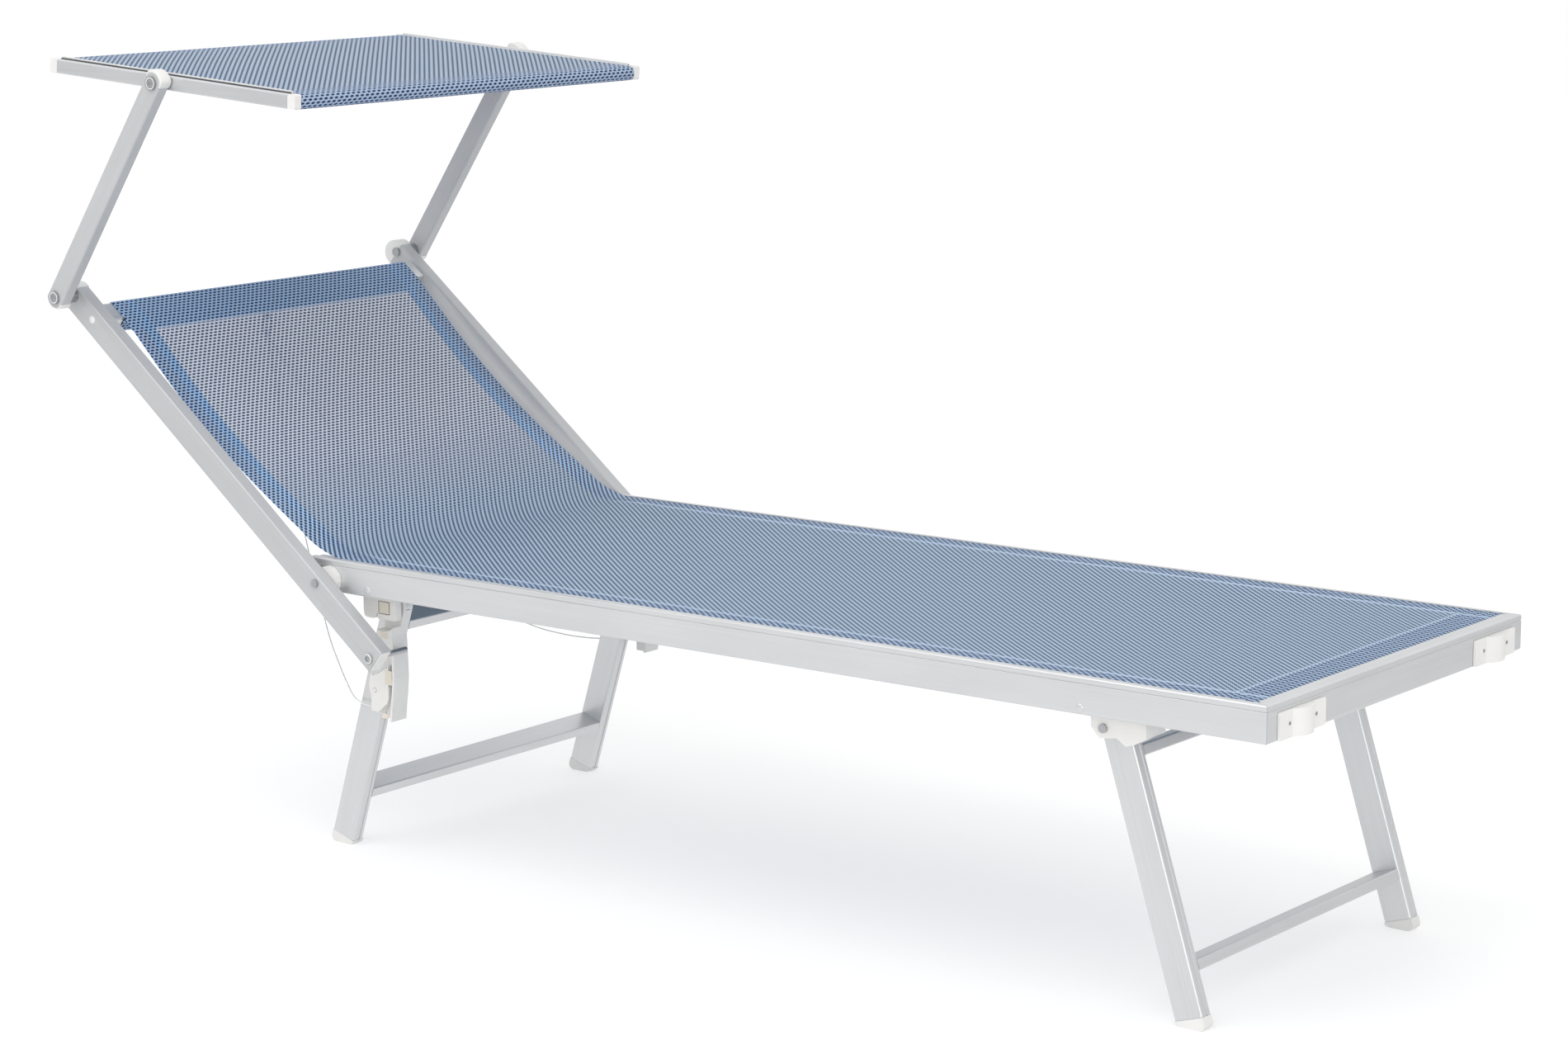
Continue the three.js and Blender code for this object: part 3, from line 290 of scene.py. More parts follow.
def patchy(name, look):                       # two shades in soft patches, with the gloss following them
    material, tree, surface = newMaterial(name)
    place = addNode(tree, "ShaderNodeTexCoord", output="Object")
    patches = addNode(tree, "ShaderNodeTexNoise", None,
                      {"Vector": place, "Scale": look["patches"], "Detail": noiseDetail})
    dark, light = look["shades"]
    colour = addNode(tree, "ShaderNodeMix", {"data_type": "RGBA"},
                     {0: patches, 6: linear(dark), 7: linear(light)}, 2)
    low, high = look["roughness"]
    matt = addNode(tree, "ShaderNodeMapRange", None, {"Value": patches, "To Min": low, "To Max": high})
    fillInputs(surface, {"Base Color": colour, "Roughness": matt, **look["surface"]})
    if "grain" in look:
        scale, detail, strength, depth = look["grain"]
        grain = addNode(tree, "ShaderNodeTexNoise", None,
                        {"Vector": place, "Scale": scale, "Detail": detail})
        bump = addNode(tree, "ShaderNodeBump", None,
                       {"Strength": strength, "Distance": depth * mm, "Height": grain})
        fillInputs(surface, {"Normal": bump})
    return material


# twisted nylon: three milky strands with a little gloss
strand = {"shades": ("#d5d6d6", "#f4f4f2"), "wave": 1.0, "waver": 0.4,
          "surface": {"Roughness": 0.42, "IOR": 1.53}}


def nylonCord():
    material, tree, surface = newMaterial("twistedNylon")
    lay = addNode(tree, "ShaderNodeUVMap", {"uv_map": "lay"})
    strands = addNode(tree, "ShaderNodeTexWave", {"bands_direction": "DIAGONAL"},
                      {"Vector": lay, "Scale": strand["wave"], "Distortion": strand["waver"]})
    dark, light = strand["shades"]
    colour = addNode(tree, "ShaderNodeMix", {"data_type": "RGBA"},
                     {0: strands, 6: linear(dark), 7: linear(light)}, 2)
    fillInputs(surface, {"Base Color": colour, **strand["surface"]})
    return material


# PVC-coated polyester mesh: dark blue floats lie in staggered rows on a pale blue net, and light
# shows through the small openings between the yarns. A hem lies double, so it is darker and closed.
# rows and openness: on the backrest and on the seat. sling and canopy: the net's colour, and the
# pattern's repeat across and along the cloth in mm. The yarns' spacing is in mm too
weave = {
    # netBack and netHemBack are the backrest's colours of the net and of its hem, and the sling's net and netHem
    # the seat's: one cloth, given other colours as painted light and shade for how each part is lit
    "float": "#1d3757", "floatHem": "#0d2046", "netBack": "#bcc4d8",
    "netHem": "#a2c0e2", "netHemBack": "#8fb5de",
    "seam": "#b4c9e2", "seamShare": 0.6, "cloud": "#8aa3bf", "cloudShare": 0.2, "clouds": 9.0,
    "sling": ("#9fb7cf", 8.55, 5.15), "canopy": ("#9db0c7", 9.85, 4.65),
    "strong": 1.0, "weak": 0.42, "dots": 2.0, "rows": (1.4, 0.2), "edge": 0.22, "from": 0.2, "rim": 0.35,
    "openness": (0.75, 0.1), "closedShare": 0.6, "floatHeight": 0.25, "bump": 0.4, "bumpDepth": 0.4,
    "yarnAcross": 1.425, "yarnAlong": 1.2875, "yarnHalf": 0.1, "yarnEdge": 14.0,
    "surface": {"Roughness": 0.55, "IOR": 1.5},
}


def openMesh(name, net, across, along):
    w = weave
    material, tree, surface = newMaterial(name)
    flat = addNode(tree, "ShaderNodeUVMap", {"uv_map": "cloth"})
    u, v, _ = addNode(tree, "ShaderNodeSeparateXYZ", None, {0: flat}).node.outputs
    known = {"u": u, "v": v}
    for label in ("hem", "seam", "lying"):
        known[label] = addNode(tree, "ShaderNodeAttribute", {"attribute_name": label}, output="Fac")
    known["cloudy"] = addNode(tree, "ShaderNodeTexNoise", None,
                              {"Vector": flat, "Scale": w["clouds"], "Detail": noiseDetail})
    for label in ("rows", "openness"):
        back, seat = w[label]
        known[label] = addNode(tree, "ShaderNodeMapRange", None,
                               {"Value": known["lying"], "To Min": back, "To Max": seat})

    def lookedUp(value):                      # the name of a step, a hex colour or a number
        if not isinstance(value, str):
            return value
        return linear(value) if value.startswith("#") else known[value]

    def work(steps):                          # each: a name, what is done, and its two values
        for label, operation, first, second in steps:
            known[label] = addNode(tree, "ShaderNodeMath", {"operation": operation, "label": label},
                                   {0: lookedUp(first), 1: lookedUp(second)})

    turn = 2 * math.pi
    # the floats are the dark side of three waves: the rows, the cloth's diagonal and, weaker, the
    # other diagonal. The rows are weaker where the cloth lies flat, because the photograph shows
    # diagonals there, and the openings hardly show there either, because they are seen along the
    # cloth. The hems of the seat show plain zigzag rows of dots
    work([
        ("waveAcross", "MULTIPLY", "u", turn / (across * mm)),
        ("waveAlong", "MULTIPLY", "v", turn / (2 * along * mm)),
        ("risingAngle", "ADD", "waveAcross", "waveAlong"),
        ("fallingAngle", "SUBTRACT", "waveAcross", "waveAlong"),
        ("rising", "COSINE", "risingAngle", 0.0), ("falling", "COSINE", "fallingAngle", 0.0),
        ("risingPart", "MULTIPLY", "rising", w["strong"]), ("fallingPart", "MULTIPLY", "falling", w["weak"]),
        ("rowAngle", "MULTIPLY", "waveAlong", 2.0), ("rowWave", "COSINE", "rowAngle", 0.0),
        ("rowPart", "MULTIPLY", "rowWave", "rows"), ("diagonals", "ADD", "risingPart", "fallingPart"),
        ("plainWave", "ADD", "diagonals", "rowPart"),
        ("dotsAcross", "COSINE", "waveAcross", 0.0), ("dotsAlong", "COSINE", "waveAlong", 0.0),
        ("dots", "MULTIPLY", "dotsAcross", "dotsAlong"), ("dotsPart", "MULTIPLY", "dots", w["dots"]),
        ("dotWave", "ADD", "dotsPart", w["rim"]), ("offWave", "SUBTRACT", "dotWave", "plainWave"),
        ("hemShare", "MULTIPLY", "hem", "lying"), ("hemPart", "MULTIPLY", "offWave", "hemShare"),
        ("wave", "ADD", "plainWave", "hemPart"),
        ("cloudShare", "MULTIPLY", "cloudy", w["cloudShare"]),
        ("seamShare", "MULTIPLY", "seam", w["seamShare"]),
    ])
    # the yarns one way: how far a spot is from its yarn's middle, the clear space beside the yarn and
    # the yarn's height
    for way, at in (("Across", "u"), ("Along", "v")):
        work([
            ("yarns", "DIVIDE", at, w["yarn" + way] * mm), ("part", "FRACT", "yarns", 0.0),
            ("middle", "SUBTRACT", "part", 0.5), ("off", "ABSOLUTE", "middle", 0.0),
            ("clear", "SUBTRACT", "off", w["yarnHalf"]), ("open", "MULTIPLY", "clear", w["yarnEdge"]),
            ("space", "MINIMUM", "open", 1.0), ("hole" + way, "MAXIMUM", "space", 0.0),
            ("thick" + way, "SUBTRACT", 0.5, "off"),
        ])
    known["dash"] = addNode(tree, "ShaderNodeMapRange", {"interpolation_type": "SMOOTHSTEP"},
                            {"Value": known["wave"], "From Min": w["from"] - w["edge"],
                             "From Max": w["from"] + w["edge"]})
    # bareNet and hemNet blend the backrest's and the seat's colours of one net by how the cloth lies: painted
    # light and shade
    mixes = [
        ("floatColour", "hem", w["float"], w["floatHem"]), ("bareNet", "lying", w["netBack"], net),
        ("hemNet", "lying", w["netHemBack"], w["netHem"]), ("plainNet", "hem", "bareNet", "hemNet"),
        ("netColour", "cloudShare", "plainNet", w["cloud"]), ("woven", "dash", "netColour", "floatColour"),
        ("colour", "seamShare", "woven", w["seam"]),
    ]
    for label, share, first, second in mixes:
        known[label] = addNode(tree, "ShaderNodeMix", {"data_type": "RGBA", "label": label},
                               {0: lookedUp(share), 6: lookedUp(first), 7: lookedUp(second)}, 2)
    work([
        ("dashClosed", "MULTIPLY", "dash", w["closedShare"]), ("double", "MAXIMUM", "hem", "seam"),
        ("closed", "MAXIMUM", "dashClosed", "double"), ("free", "SUBTRACT", 1.0, "closed"),
        ("hole", "MULTIPLY", "holeAcross", "holeAlong"), ("opening", "MULTIPLY", "hole", "openness"),
        ("gap", "MULTIPLY", "opening", "free"), ("alpha", "SUBTRACT", 1.0, "gap"),
        ("relief", "MULTIPLY", "thickAcross", "thickAlong"),
        ("dashHeight", "MULTIPLY", "dash", w["floatHeight"]),
        ("height", "ADD", "relief", "dashHeight"),
    ])
    bump = addNode(tree, "ShaderNodeBump", None, {"Strength": w["bump"], "Distance": w["bumpDepth"] * mm,
                                                  "Height": known["height"]})
    fillInputs(surface, {"Base Color": known["colour"], "Alpha": known["alpha"], "Normal": bump,
                         **w["surface"]})
    return material


steel = patchy("zincPlatedSteel", plating)
white = patchy("mouldedPolypropylene", plastic)
pocket = patchy("paintedPocketShade", pocketShade)
shadowLine = patchy("shadedEdge", shadedEdge)
nylon = nylonCord()
slingCloth = openMesh("coatedPolyesterSling", *weave["sling"])
canopyCloth = openMesh("coatedPolyesterCanopy", *weave["canopy"])
print("materials made")


# pull cord: from the right lever's tail, slack to the ring, and down again to the left lever. Each
# half is cut where it stays with the leg and with the bed frame; of the stretches, only the loop is
# carried, by the backrest. Lengths in mm; the strands stand out by a share of the radius, and the cuts
# are numbers of the route's points
cord = {"diameter": 2.0, "lay": 7.0, "sides": 12, "step": 2.0, "strands": 3, "bulge": 0.07,
        "patternStep": 0.3, "fineness": 24, "cuts": (3, 6, 13, 20, 25, 29)}
cordRoute = [
    (-1427.7, -276.6, 210.5), (-1440, -275, 209.3), (-1457, -270.8, 210.2), (-1476, -265.5, 213.5),
    (-1517, -240, 225), (-1558, -213.8, 243), (-1600, -187.7, 268), (-1652, -154.3, 315),
    (-1705, -120.7, 371), (-1754, -89.6, 430), (-1803, -58.5, 493), (-1848, -30, 562),
    (-1878, -11.5, 618), (-1890, -5.2, 646), (-1893.7, -2.8, 656.5), (-1895.3, -1.5, 661.6),
    (-1898.6, 0, 664.2), (-1901.9, 1.4, 661.6), (-1903.4, 2.9, 656.5), (-1901.8, 4.8, 651),
    (-1896.5, 6.8, 645.5), (-1884, 11, 628), (-1841, 34.3, 556), (-1776, 75.7, 430),
    (-1699, 124.3, 322), (-1637, 163.8, 262), (-1568, 207.6, 221.8), (-1530, 232.3, 209.5),
    (-1503, 249.6, 204.8), (-1484, 261, 203.8), (-1468, 268.5, 204.3), (-1452, 273, 206.2),
    (-1439, 275.8, 208.8), (-1427.7, 276.6, 210.5),
]
# the stretches of the cord, and the two bodies that each kind of stretch joins
stretches = ("right_end", "right_low", "right_high", "loop", "left_high", "left_low", "left_end")
follows = {"end": ("latch_", "rear_legs"), "low": ("rear_legs", "main_frame"),
           "high": ("main_frame", "backrest")}


def throughPoints(points, step):              # a centripetal curve through the points, in even steps
    padded = [2 * points[0] - points[1]] + points + [2 * points[-1] - points[-2]]
    fine = []
    for i in range(1, len(padded) - 2):
        p = padded[i - 1:i + 3]
        t = [0.0]
        for a, b in zip(p, p[1:]):
            t.append(t[-1] + max((b - a).length, hair) ** 0.5)
        for k in range(cord["fineness"]):
            s = lerp(t[1], t[2], k / cord["fineness"])
            a = [lerp(p[j], p[j + 1], (s - t[j]) / (t[j + 1] - t[j])) for j in range(3)]
            b = [lerp(a[j], a[j + 1], (s - t[j]) / (t[j + 2] - t[j])) for j in range(2)]
            fine.append(lerp(b[0], b[1], (s - t[1]) / (t[2] - t[1])))
    fine.append(points[-1])
    reach = reachAlong(fine)
    count = round(reach[-1] / step)
    return [pointAt(fine, reach, reach[-1] * i / count) for i in range(count + 1)]


def twistedTube(name, path, material):
    count, last, turn = cord["sides"], len(path) - 1, 2 * math.pi
    points, faces, uvs = [], [], []
    normal = (path[1] - path[0]).normalized().orthogonal().normalized()
    for i, (place, reach) in enumerate(zip(path, reachAlong(path))):
        ahead = (path[min(i + 1, last)] - path[max(i - 1, 0)]).normalized()
        normal = (normal - ahead * normal.dot(ahead)).normalized()
        other = ahead.cross(normal)
        for k in range(count):
            angle = turn * k / count
            strands = math.cos(cord["strands"] * angle - turn * reach / (cord["lay"] * mm))
            radius = cord["diameter"] * mm / 2 * (1 + cord["bulge"] * (strands - 1))
            points.append(place + radius * (math.cos(angle) * normal + math.sin(angle) * other))
            if i < last:
                a, b = i * count + k, i * count + (k + 1) % count
                faces.append((a, b, b + count, a + count))
                uvs += [(k / count, i), ((k + 1) / count, i), ((k + 1) / count, i + 1), (k / count, i + 1)]
    for i in (0, last):
        for k in range(count):
            a, b = i * count + k, i * count + (k + 1) % count
            faces.append((b, a, len(points)) if i == 0 else (a, b, len(points)))
            uvs += [(0, i)] * 3
        points.append(path[i])
    piece = meshPiece(name, points, faces, material)
    layer = piece.data.uv_layers.new(name="lay")
    for loop, (around, ring) in enumerate(uvs):
        layer.data[loop].uv = (around, ring * cord["patternStep"])
    return piece


def layCord():
    route = [Vector(p) * mm + Vector((footFace, 0, 0)) for p in cordRoute]
    whole = throughPoints(route, cord["step"] * mm)
    nearest = [min(range(len(whole)), key=lambda i: (whole[i] - route[k]).length) for k in cord["cuts"]]
    cuts = [0, *nearest, len(whole) - 1]
    for name, start, end in zip(stretches, cuts, cuts[1:]):
        path = whole[start:end + 1]
        piece = twistedTube("cord_" + name, path, nylon)
        if name == "loop":
            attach(piece, "backrest")
        else:
            hand, stretch = name.split("_")
            first, second = follows[stretch]
            first += hand if stretch == "end" else ""
            start, end = (path[0], path[-1]) if hand == "right" else (path[-1], path[0])
            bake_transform(piece)
        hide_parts("pull_cord")
    print("cord laid,", round(reachAlong(whole)[-1], 3), "m")


layCord()


# sling: one sheet from the loop round the head crossbar, down the backrest, over the bend and
# along the seat, with its side hems folded under and its foot end and seat edges let into the slots.
# Places along the backrest and across the sheet are in mm from the hinge and the middle, those along
# the seat in mm from the foot rail's outer face. The loop's sewn end stops short of the top hem's
# end, and turns down at the crossbar by the points of sewnTurn
sling = {
    "thickness": 0.2, "layer": 1.0,           # the distance between the layers of a hem
    "edge": 299.7, "hemBack": 40.0, "hemSeat": 27.0, "hemInner": 18.0,
    "lift": 7.4, "seatLevel": 416.3, "bendRadius": 147.0, "backSag": 16.0,
    "sag": 6.0, "sagRun": 260.0, "sagHalf": 285.0, "sagFrom": -1440.0, "sagTo": -34.0,
    "offBar": 1.4, "barCorner": 3.0, "crossbarTop": -555.5, "crossbarLow": -521.5, "crossbarUnder": -19.0,
    "topHem": 59.0, "topEdge": 0.7, "topSeam": 3.0, "sewnGap": 2.4, "sewnShort": (2, 12),
    "sewnTurn": ((9, 0), (4, -0.5), (1.5, -2.2), (0.3, -5), (0, -9)),
    "slotX": -21.2, "slotDepth": 7.7,
    "slotEnd": ((-1.6, 0), (-0.9, -0.25), (-0.4, -0.9), (-0.3, -2.5), (-0.3, -6)),
    "slotEntry": (-1468.0, -1405.0), "lying": (-1700.0, -1440.0),
    "footHemEnd": 22.0, "footHem": 35.0, "ridge": (8.0, 4.0), "ridgeHeight": 0.7,
    "ridgeOut": 0.5, "ridgeIn": 0.2,
    "rowStep": 9.0, "columns": 14, "corner": 6, "backRows": 20, "bendRows": 12, "patternStretch": 2.0,
}
# the side hem in mm: a light line lies inside it along the seat, its inner part is dark, and its
# outer part a little lighter. outer, under and top are shares of the dark, and the rows are shares of
# the hem's width
hem = {
    "line": 7.0, "lineLead": 1.5, "blend": 0.6, "flat": 4.0, "fold": 1.6, "outerRow": 0.7,
    "outer": (0.6, 0.95), "under": 0.9, "underFrom": 3.0, "underRows": (0.35, 0.7, 1.0),
    "top": 0.8, "seam": 0.8, "plain": 0.5,
}
# the fold at the sheet's edge, free and in the rail's slot: across and up from the edge in mm
freeFold = [(-1.0, 0), (-0.6, -0.06), (-0.3, -0.2), (-0.12, -0.4), (-0.08, -0.55), (-0.12, -0.7),
            (-0.3, -0.92), (-0.6, -1.06)]
slotFold = [(-0.9, -0.25), (-0.45, -0.9), (-0.35, -2.5), (-0.35, -5.6), (-0.8, -6.2), (-1.25, -5.6),
            (-1.25, -2.6), (-1.5, -1.5)]


def slingLine():
    # the sheet's middle line in the side view, from the sewn end of the loop to the foot slot, and
    # the number of its point over the crossbar
    s = sling
    off = s["offBar"]
    top, low, under = s["crossbarTop"] - off, s["crossbarLow"] + off, s["crossbarUnder"] - off
    corner = s["barCorner"] + off
    pivot = backrestFrame.translation
    slope = slopes["backrest"]
    lean = math.radians(slope)
    along = Vector((-math.cos(lean), 0, math.sin(lean)))
    square = Vector((math.sin(lean), 0, math.cos(lean)))
    level, radius = s["seatLevel"] * mm, s["bendRadius"] * mm
    rise = (level - pivot.z - s["lift"] * mm * square.z) / along.z
    tangent = radius * math.tan(lean / 2)
    bendEnd = -(rise + tangent) / mm
    backSag = lambda a: s["backSag"] * math.sin(math.pi * kept((a - low) / (bendEnd - low)))
    # under the top layer to the crossbar, down its lower face and round three of its corners
    sewn = [(top + s["topHem"] - short, 0) for short in s["sewnShort"]]
    sewn += [(low + a, z) for a, z in s["sewnTurn"]]
    sewnLift = s["lift"] - s["sewnGap"] * s["layer"]
    points = [inFrame(backrestFrame, a, 0, sewnLift + z - backSag(a)) for a, z in sewn]
    for centre, start in (((low - corner, under + corner), 0), ((top + corner, under + corner), -90),
                          ((top + corner, s["lift"] - corner), -180)):
        points += [inFrame(backrestFrame, a, 0, z) for a, z in arc(centre, corner, start, -90, s["corner"])]
    crease = len(points) - 1 - s["corner"] // 2
    # down the backrest, where the cloth hangs a little slack, to the bend
    points += [inFrame(backrestFrame, a, 0, s["lift"] - backSag(a))
               for a in (lerp(low, bendEnd, k / s["backRows"]) for k in range(s["backRows"]))]
    knee = pivot + along * rise + square * s["lift"] * mm
    points.append(knee + along * tangent)
    bend = arc((knee.x + tangent, level + radius), radius, -90 - slope, slope, s["bendRows"])
    points += [Vector((x, 0, z)) for x, z in bend[1:]]
    points += [Vector((footFace + (s["slotX"] + x) * mm, 0, level + z * mm)) for x, z in s["slotEnd"]]
    return points, crease


def evenLine(points, crease, step, marks):
    # the same line in short steps: its reach is 0 at the crease over the crossbar, and the marks
    # are reaches that must be hit
    reach = reachAlong(points)
    zero = reach[crease]
    stops = {reach[-1], *(zero + m for m in marks)}
    for low, high in zip(reach, reach[1:]):
        count = max(1, math.ceil((high - low) / step))
        stops.update(low + (high - low) * k / count for k in range(count))
    return [(pointAt(points, reach, stop), stop - zero) for stop in sorted(stops)]


def rowNormals(rows):
    last = len(rows) - 1
    steps = [rows[min(i + 1, last)][0] - rows[max(i - 1, 0)][0] for i in range(last + 1)]
    return [Vector((-step.z, 0, step.x)).normalized() for step in steps]


def crossSection(hemWidth, inSlot):
    # one half of the sheet's section from the middle out: (y, lift, u, hem, seam), in mm
    s, h = sling, hem
    edge, inner = s["edge"], s["edge"] - hemWidth
    line = inner - h["line"]
    section = [((line - h["lineLead"]) * k / s["columns"], 0, 0) for k in range(s["columns"] + 1)]
    section += [(line, 0, inSlot), (inner - h["blend"], 0, inSlot)]
    darkEnd = min(inner + s["hemInner"], edge - h["flat"])
    section += [(y, 1, 0) for y in (inner, lerp(inner, darkEnd, 0.5), darkEnd)]
    outer, last = lerp(*h["outer"], inSlot), edge - h["fold"]
    section += [(y, outer, 0) for y in (darkEnd + h["blend"], lerp(darkEnd, edge, h["outerRow"]), last)]
    section = [(y, 0, y, dark, seam) for y, dark, seam in section]
    turned = [(edge + lerp(free[0], slot[0], inSlot), lerp(free[1], slot[1], inSlot))
              for free, slot in zip(freeFold, slotFold)]
    under = [edge - h["underFrom"], *(lerp(edge, inner, k) for k in h["underRows"])]
    turned += [(y, -s["layer"]) for y in under]
    u, before = last, (last, 0)
    for here in turned:
        u += math.dist(before, here)
        section.append((*here, u, h["under"], 0))
        before = here
    return section


def clothMesh(name, rings, material, thickness):
    # rings: one row across the cloth each, from the middle to the left, as (point, u, v, hem, seam,
    # lying); the right half is its mirror image
    rings = [[(Vector((p.x, -p.y, p.z)), -u, *rest) for p, u, *rest in half[:0:-1]] + half for half in rings]
    spots = [spot for ring in rings for spot in ring]
    count = len(rings[0])
    starts = [i * count + j for i in range(len(rings) - 1) for j in range(count - 1)]
    faces = [(a, a + count, a + count + 1, a + 1) for a in starts]
    piece = meshPiece(name, [spot[0] for spot in spots], faces, material)
    layer = piece.data.uv_layers.new(name="cloth")
    for loop in piece.data.loops:
        layer.data[loop.index].uv = spots[loop.vertex_index][1:3]
    for index, attribute in ((3, "hem"), (4, "seam"), (5, "lying")):
        data = piece.data.attributes.new(attribute, "FLOAT", "POINT")
        data.data.foreach_set("value", [spot[index] for spot in spots])
    solid = piece.modifiers.new("thickness", "SOLIDIFY")
    solid.thickness = thickness * mm
    solid.offset = 0
    return applied(piece)


def makeSling():
    s = sling
    points, crease = slingLine()
    # where the sheet reaches the foot slot, the foot hem's two edges, and a stitched ridge before it
    footReach = reachAlong(points[crease:])[-1] - s["slotDepth"] * mm
    hemHigh = footReach - (s["footHemEnd"] + s["slotX"]) * mm
    hemLow = hemHigh - s["footHem"] * mm
    ridgeLow, ridgeHigh = (hemLow - reach * mm for reach in s["ridge"])
    hemMiddle = (hemLow + hemHigh) / 2
    topHem, topSeam = s["topHem"] * mm, (s["topHem"] + s["topSeam"]) * mm
    outside, inside, blend = s["ridgeOut"] * mm, s["ridgeIn"] * mm, hem["blend"] * mm
    marks = [topHem, topHem + s["topEdge"] * mm, hemLow, hemLow + blend, hemHigh, hemHigh + blend,
             ridgeLow - outside, ridgeLow + inside, ridgeHigh - inside, ridgeHigh + outside]
    rows = evenLine(points, crease, s["rowStep"] * mm, marks)
    # how far each row lies in the side slots, lies flat, and hangs between the seat's two ends
    rising = lambda x, low, high: smoothRise(x, footFace + low * mm, footFace + high * mm)
    rings = []
    for (place, v), normal in zip(rows, rowNormals(rows)):
        inSlot = rising(place.x, *s["slotEntry"]) if v > 0 else 0
        lying = rising(place.x, *s["lying"]) if v > 0 else 0
        hanging = rising(place.x, s["sagFrom"], s["sagFrom"] + s["sagRun"]) * \
            (1 - rising(place.x, s["sagTo"] - s["sagRun"], s["sagTo"]))
        # the pattern is laid out from the foot hem's middle, and drawn out longer inside it
        laid = v - hemMiddle
        laid -= kept(laid, hemLow - hemMiddle, hemHigh - hemMiddle) * (1 - 1 / s["patternStretch"])
        onRidge = ridgeLow <= v <= ridgeHigh
        half = []
        for y, lift, u, dark, seam in crossSection(lerp(s["hemBack"], s["hemSeat"], inSlot), inSlot):
            sag = s["sag"] * hanging * max(0.0, 1 - (y / s["sagHalf"]) ** 2)
            ridge = s["ridgeHeight"] if onRidge and y < s["edge"] - s["hemSeat"] else 0
            point = place + normal * (lift - sag + ridge) * mm + Vector((0, y * mm, 0))
            if v <= topHem + touching:
                dark = max(dark, hem["top"])
            if hemLow <= v <= hemHigh + blend / 2:
                dark = 1.0
            if (topHem < v <= topSeam or onRidge) and dark < hem["plain"]:
                seam = max(seam, hem["seam"])
            half.append((point, u * mm, laid, dark, seam, lying))
        rings.append(half)
    piece = clothMesh("sling", rings, slingCloth, s["thickness"])
    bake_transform(piece)
    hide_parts("seat_sling", "sling_bend", "backrest_sling")


makeSling()


# canopy cloth: one sheet with a roll round each cross tube, in mm from the canopy's pivot. The seam
# lies back from the tube under the sheet, and from there the cloth curves down under the tube
canopy = {
    "thickness": 0.2, "half": 341.0, "front": 242.5, "rear": -218.5, "tubeDrop": 0.8, "roll": 10.4,
    "seamBack": 30.0, "seamEnd": 8.0, "seamBelow": 1.1, "underBack": 7.5, "underDrop": 7.2, "curve": 1.2,
    "curveRows": 5, "rollFrom": -130, "rollTurn": 220, "rollRows": 24, "hem": 30.0, "hemEdge": 0.7,
    "hemDark": 0.45, "hemLying": 0.2, "sag": 4.0, "sagPower": 4, "swell": 1.2,
    "rowStep": 9.0, "columns": 30,
}


def makeCanopy():
    c = canopy
    radius, drop = c["roll"], c["tubeDrop"]
    level = radius - drop - c["seamBelow"]

    def roll(centre, turn):                   # turn is +1 for the front roll: from the seam, under and over
        side = [(c["seamBack"] + c["seamEnd"], level), (c["seamBack"], level)]
        for share in (k / c["curveRows"] for k in range(1, c["curveRows"])):
            side.append((lerp(c["seamBack"], c["underBack"], share),
                         lerp(level, -drop - c["underDrop"], share ** c["curve"])))
        side += [(-x, z) for x, z in arc((0, -drop), radius, c["rollFrom"], c["rollTurn"], c["rollRows"])]
        return [inFrame(canopyFrame, centre - turn * back, 0, z) for back, z in side]

    points = roll(c["front"], 1)
    crease = len(points) - 1
    points += roll(c["rear"], -1)[::-1]
    hemEnd, hemEdge = c["hem"] * mm, c["hemEdge"] * mm
    rows = evenLine(points, crease, c["rowStep"] * mm, [hemEnd, hemEnd + hemEdge])
    total = next(v for _, v in rows[::-1] if v <= (c["front"] - c["rear"]) * mm + touching)
    rings = []
    for (place, v), normal in zip(rows, rowNormals(rows)):
        share = kept(v / total)
        swell = math.sin(math.pi * share) ** c["swell"] if 0 < share < 1 else 0
        rolled = min(v, total - v) < hemEnd + hemEdge / 2
        dark, lying = (c["hemDark"], c["hemLying"]) if rolled else (0, 1)
        half = []
        for k in range(c["columns"] + 1):
            y = c["half"] * math.sin(k / c["columns"] * math.pi / 2)
            sag = c["sag"] * swell * max(0.0, 1 - (y / c["half"]) ** c["sagPower"])
            point = place - normal * sag * mm + Vector((0, y * mm, 0))
            half.append((point, y * mm, total - v, dark, 0, lying))
        rings.append(half)
    piece = clothMesh("canopy_cloth", rings, canopyCloth, c["thickness"])
    carried(piece, "canopy")
    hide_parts("canopy_fabric")


makeCanopy()

# finishes of the frame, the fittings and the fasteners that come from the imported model: a bar that
# isn't named here runs across the frame
runOf = {"side_rail": "x", "canopy_rail": "x", "backrest_tube": "backrest", "arm": "arms",
         "rear_leg": "rearLegs", "front_leg": "frontLegs"}
finishOf = {"fastener_steel": steel, "white_plastic": white, "sling_mesh": slingCloth, "cord": nylon}
for entry in frame["record"]["subparts"]:
    name, slotName = entry["node"], entry["material_slot"]
    stem = name.removesuffix("_right").removesuffix("_left")
    for place in frame["nodes"][name].material_slots:
        place.link = "OBJECT"
        place.material = finishOf.get(slotName) or lengthwise[runOf.get(stem, "y")]

# the fittings' finishes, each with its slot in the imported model
whitePart = (white, "white_plastic")
steelHead = (steel, "fastener_steel")
railHead = (lengthwise["x"], "frame_aluminium")

# end caps of the arms and the backrest tubes, in mm
# each bar: half its width, its two faces, where its caps start and where their straight part ends
caps = {"edge": 1.2, "dome": 9.0, "domeStep": 10, "segments": 3}
armBar = {"half": 15.5, "faces": (355.6, 374.6), "from": 2.0, "straight": 9.0, "straightLow": 6.0,
          "length": 375.4}
tubeBar = {"half": 19.3, "faces": (318.2, 340.8), "from": 587.5, "straight": 591.5, "middle": -9.0}


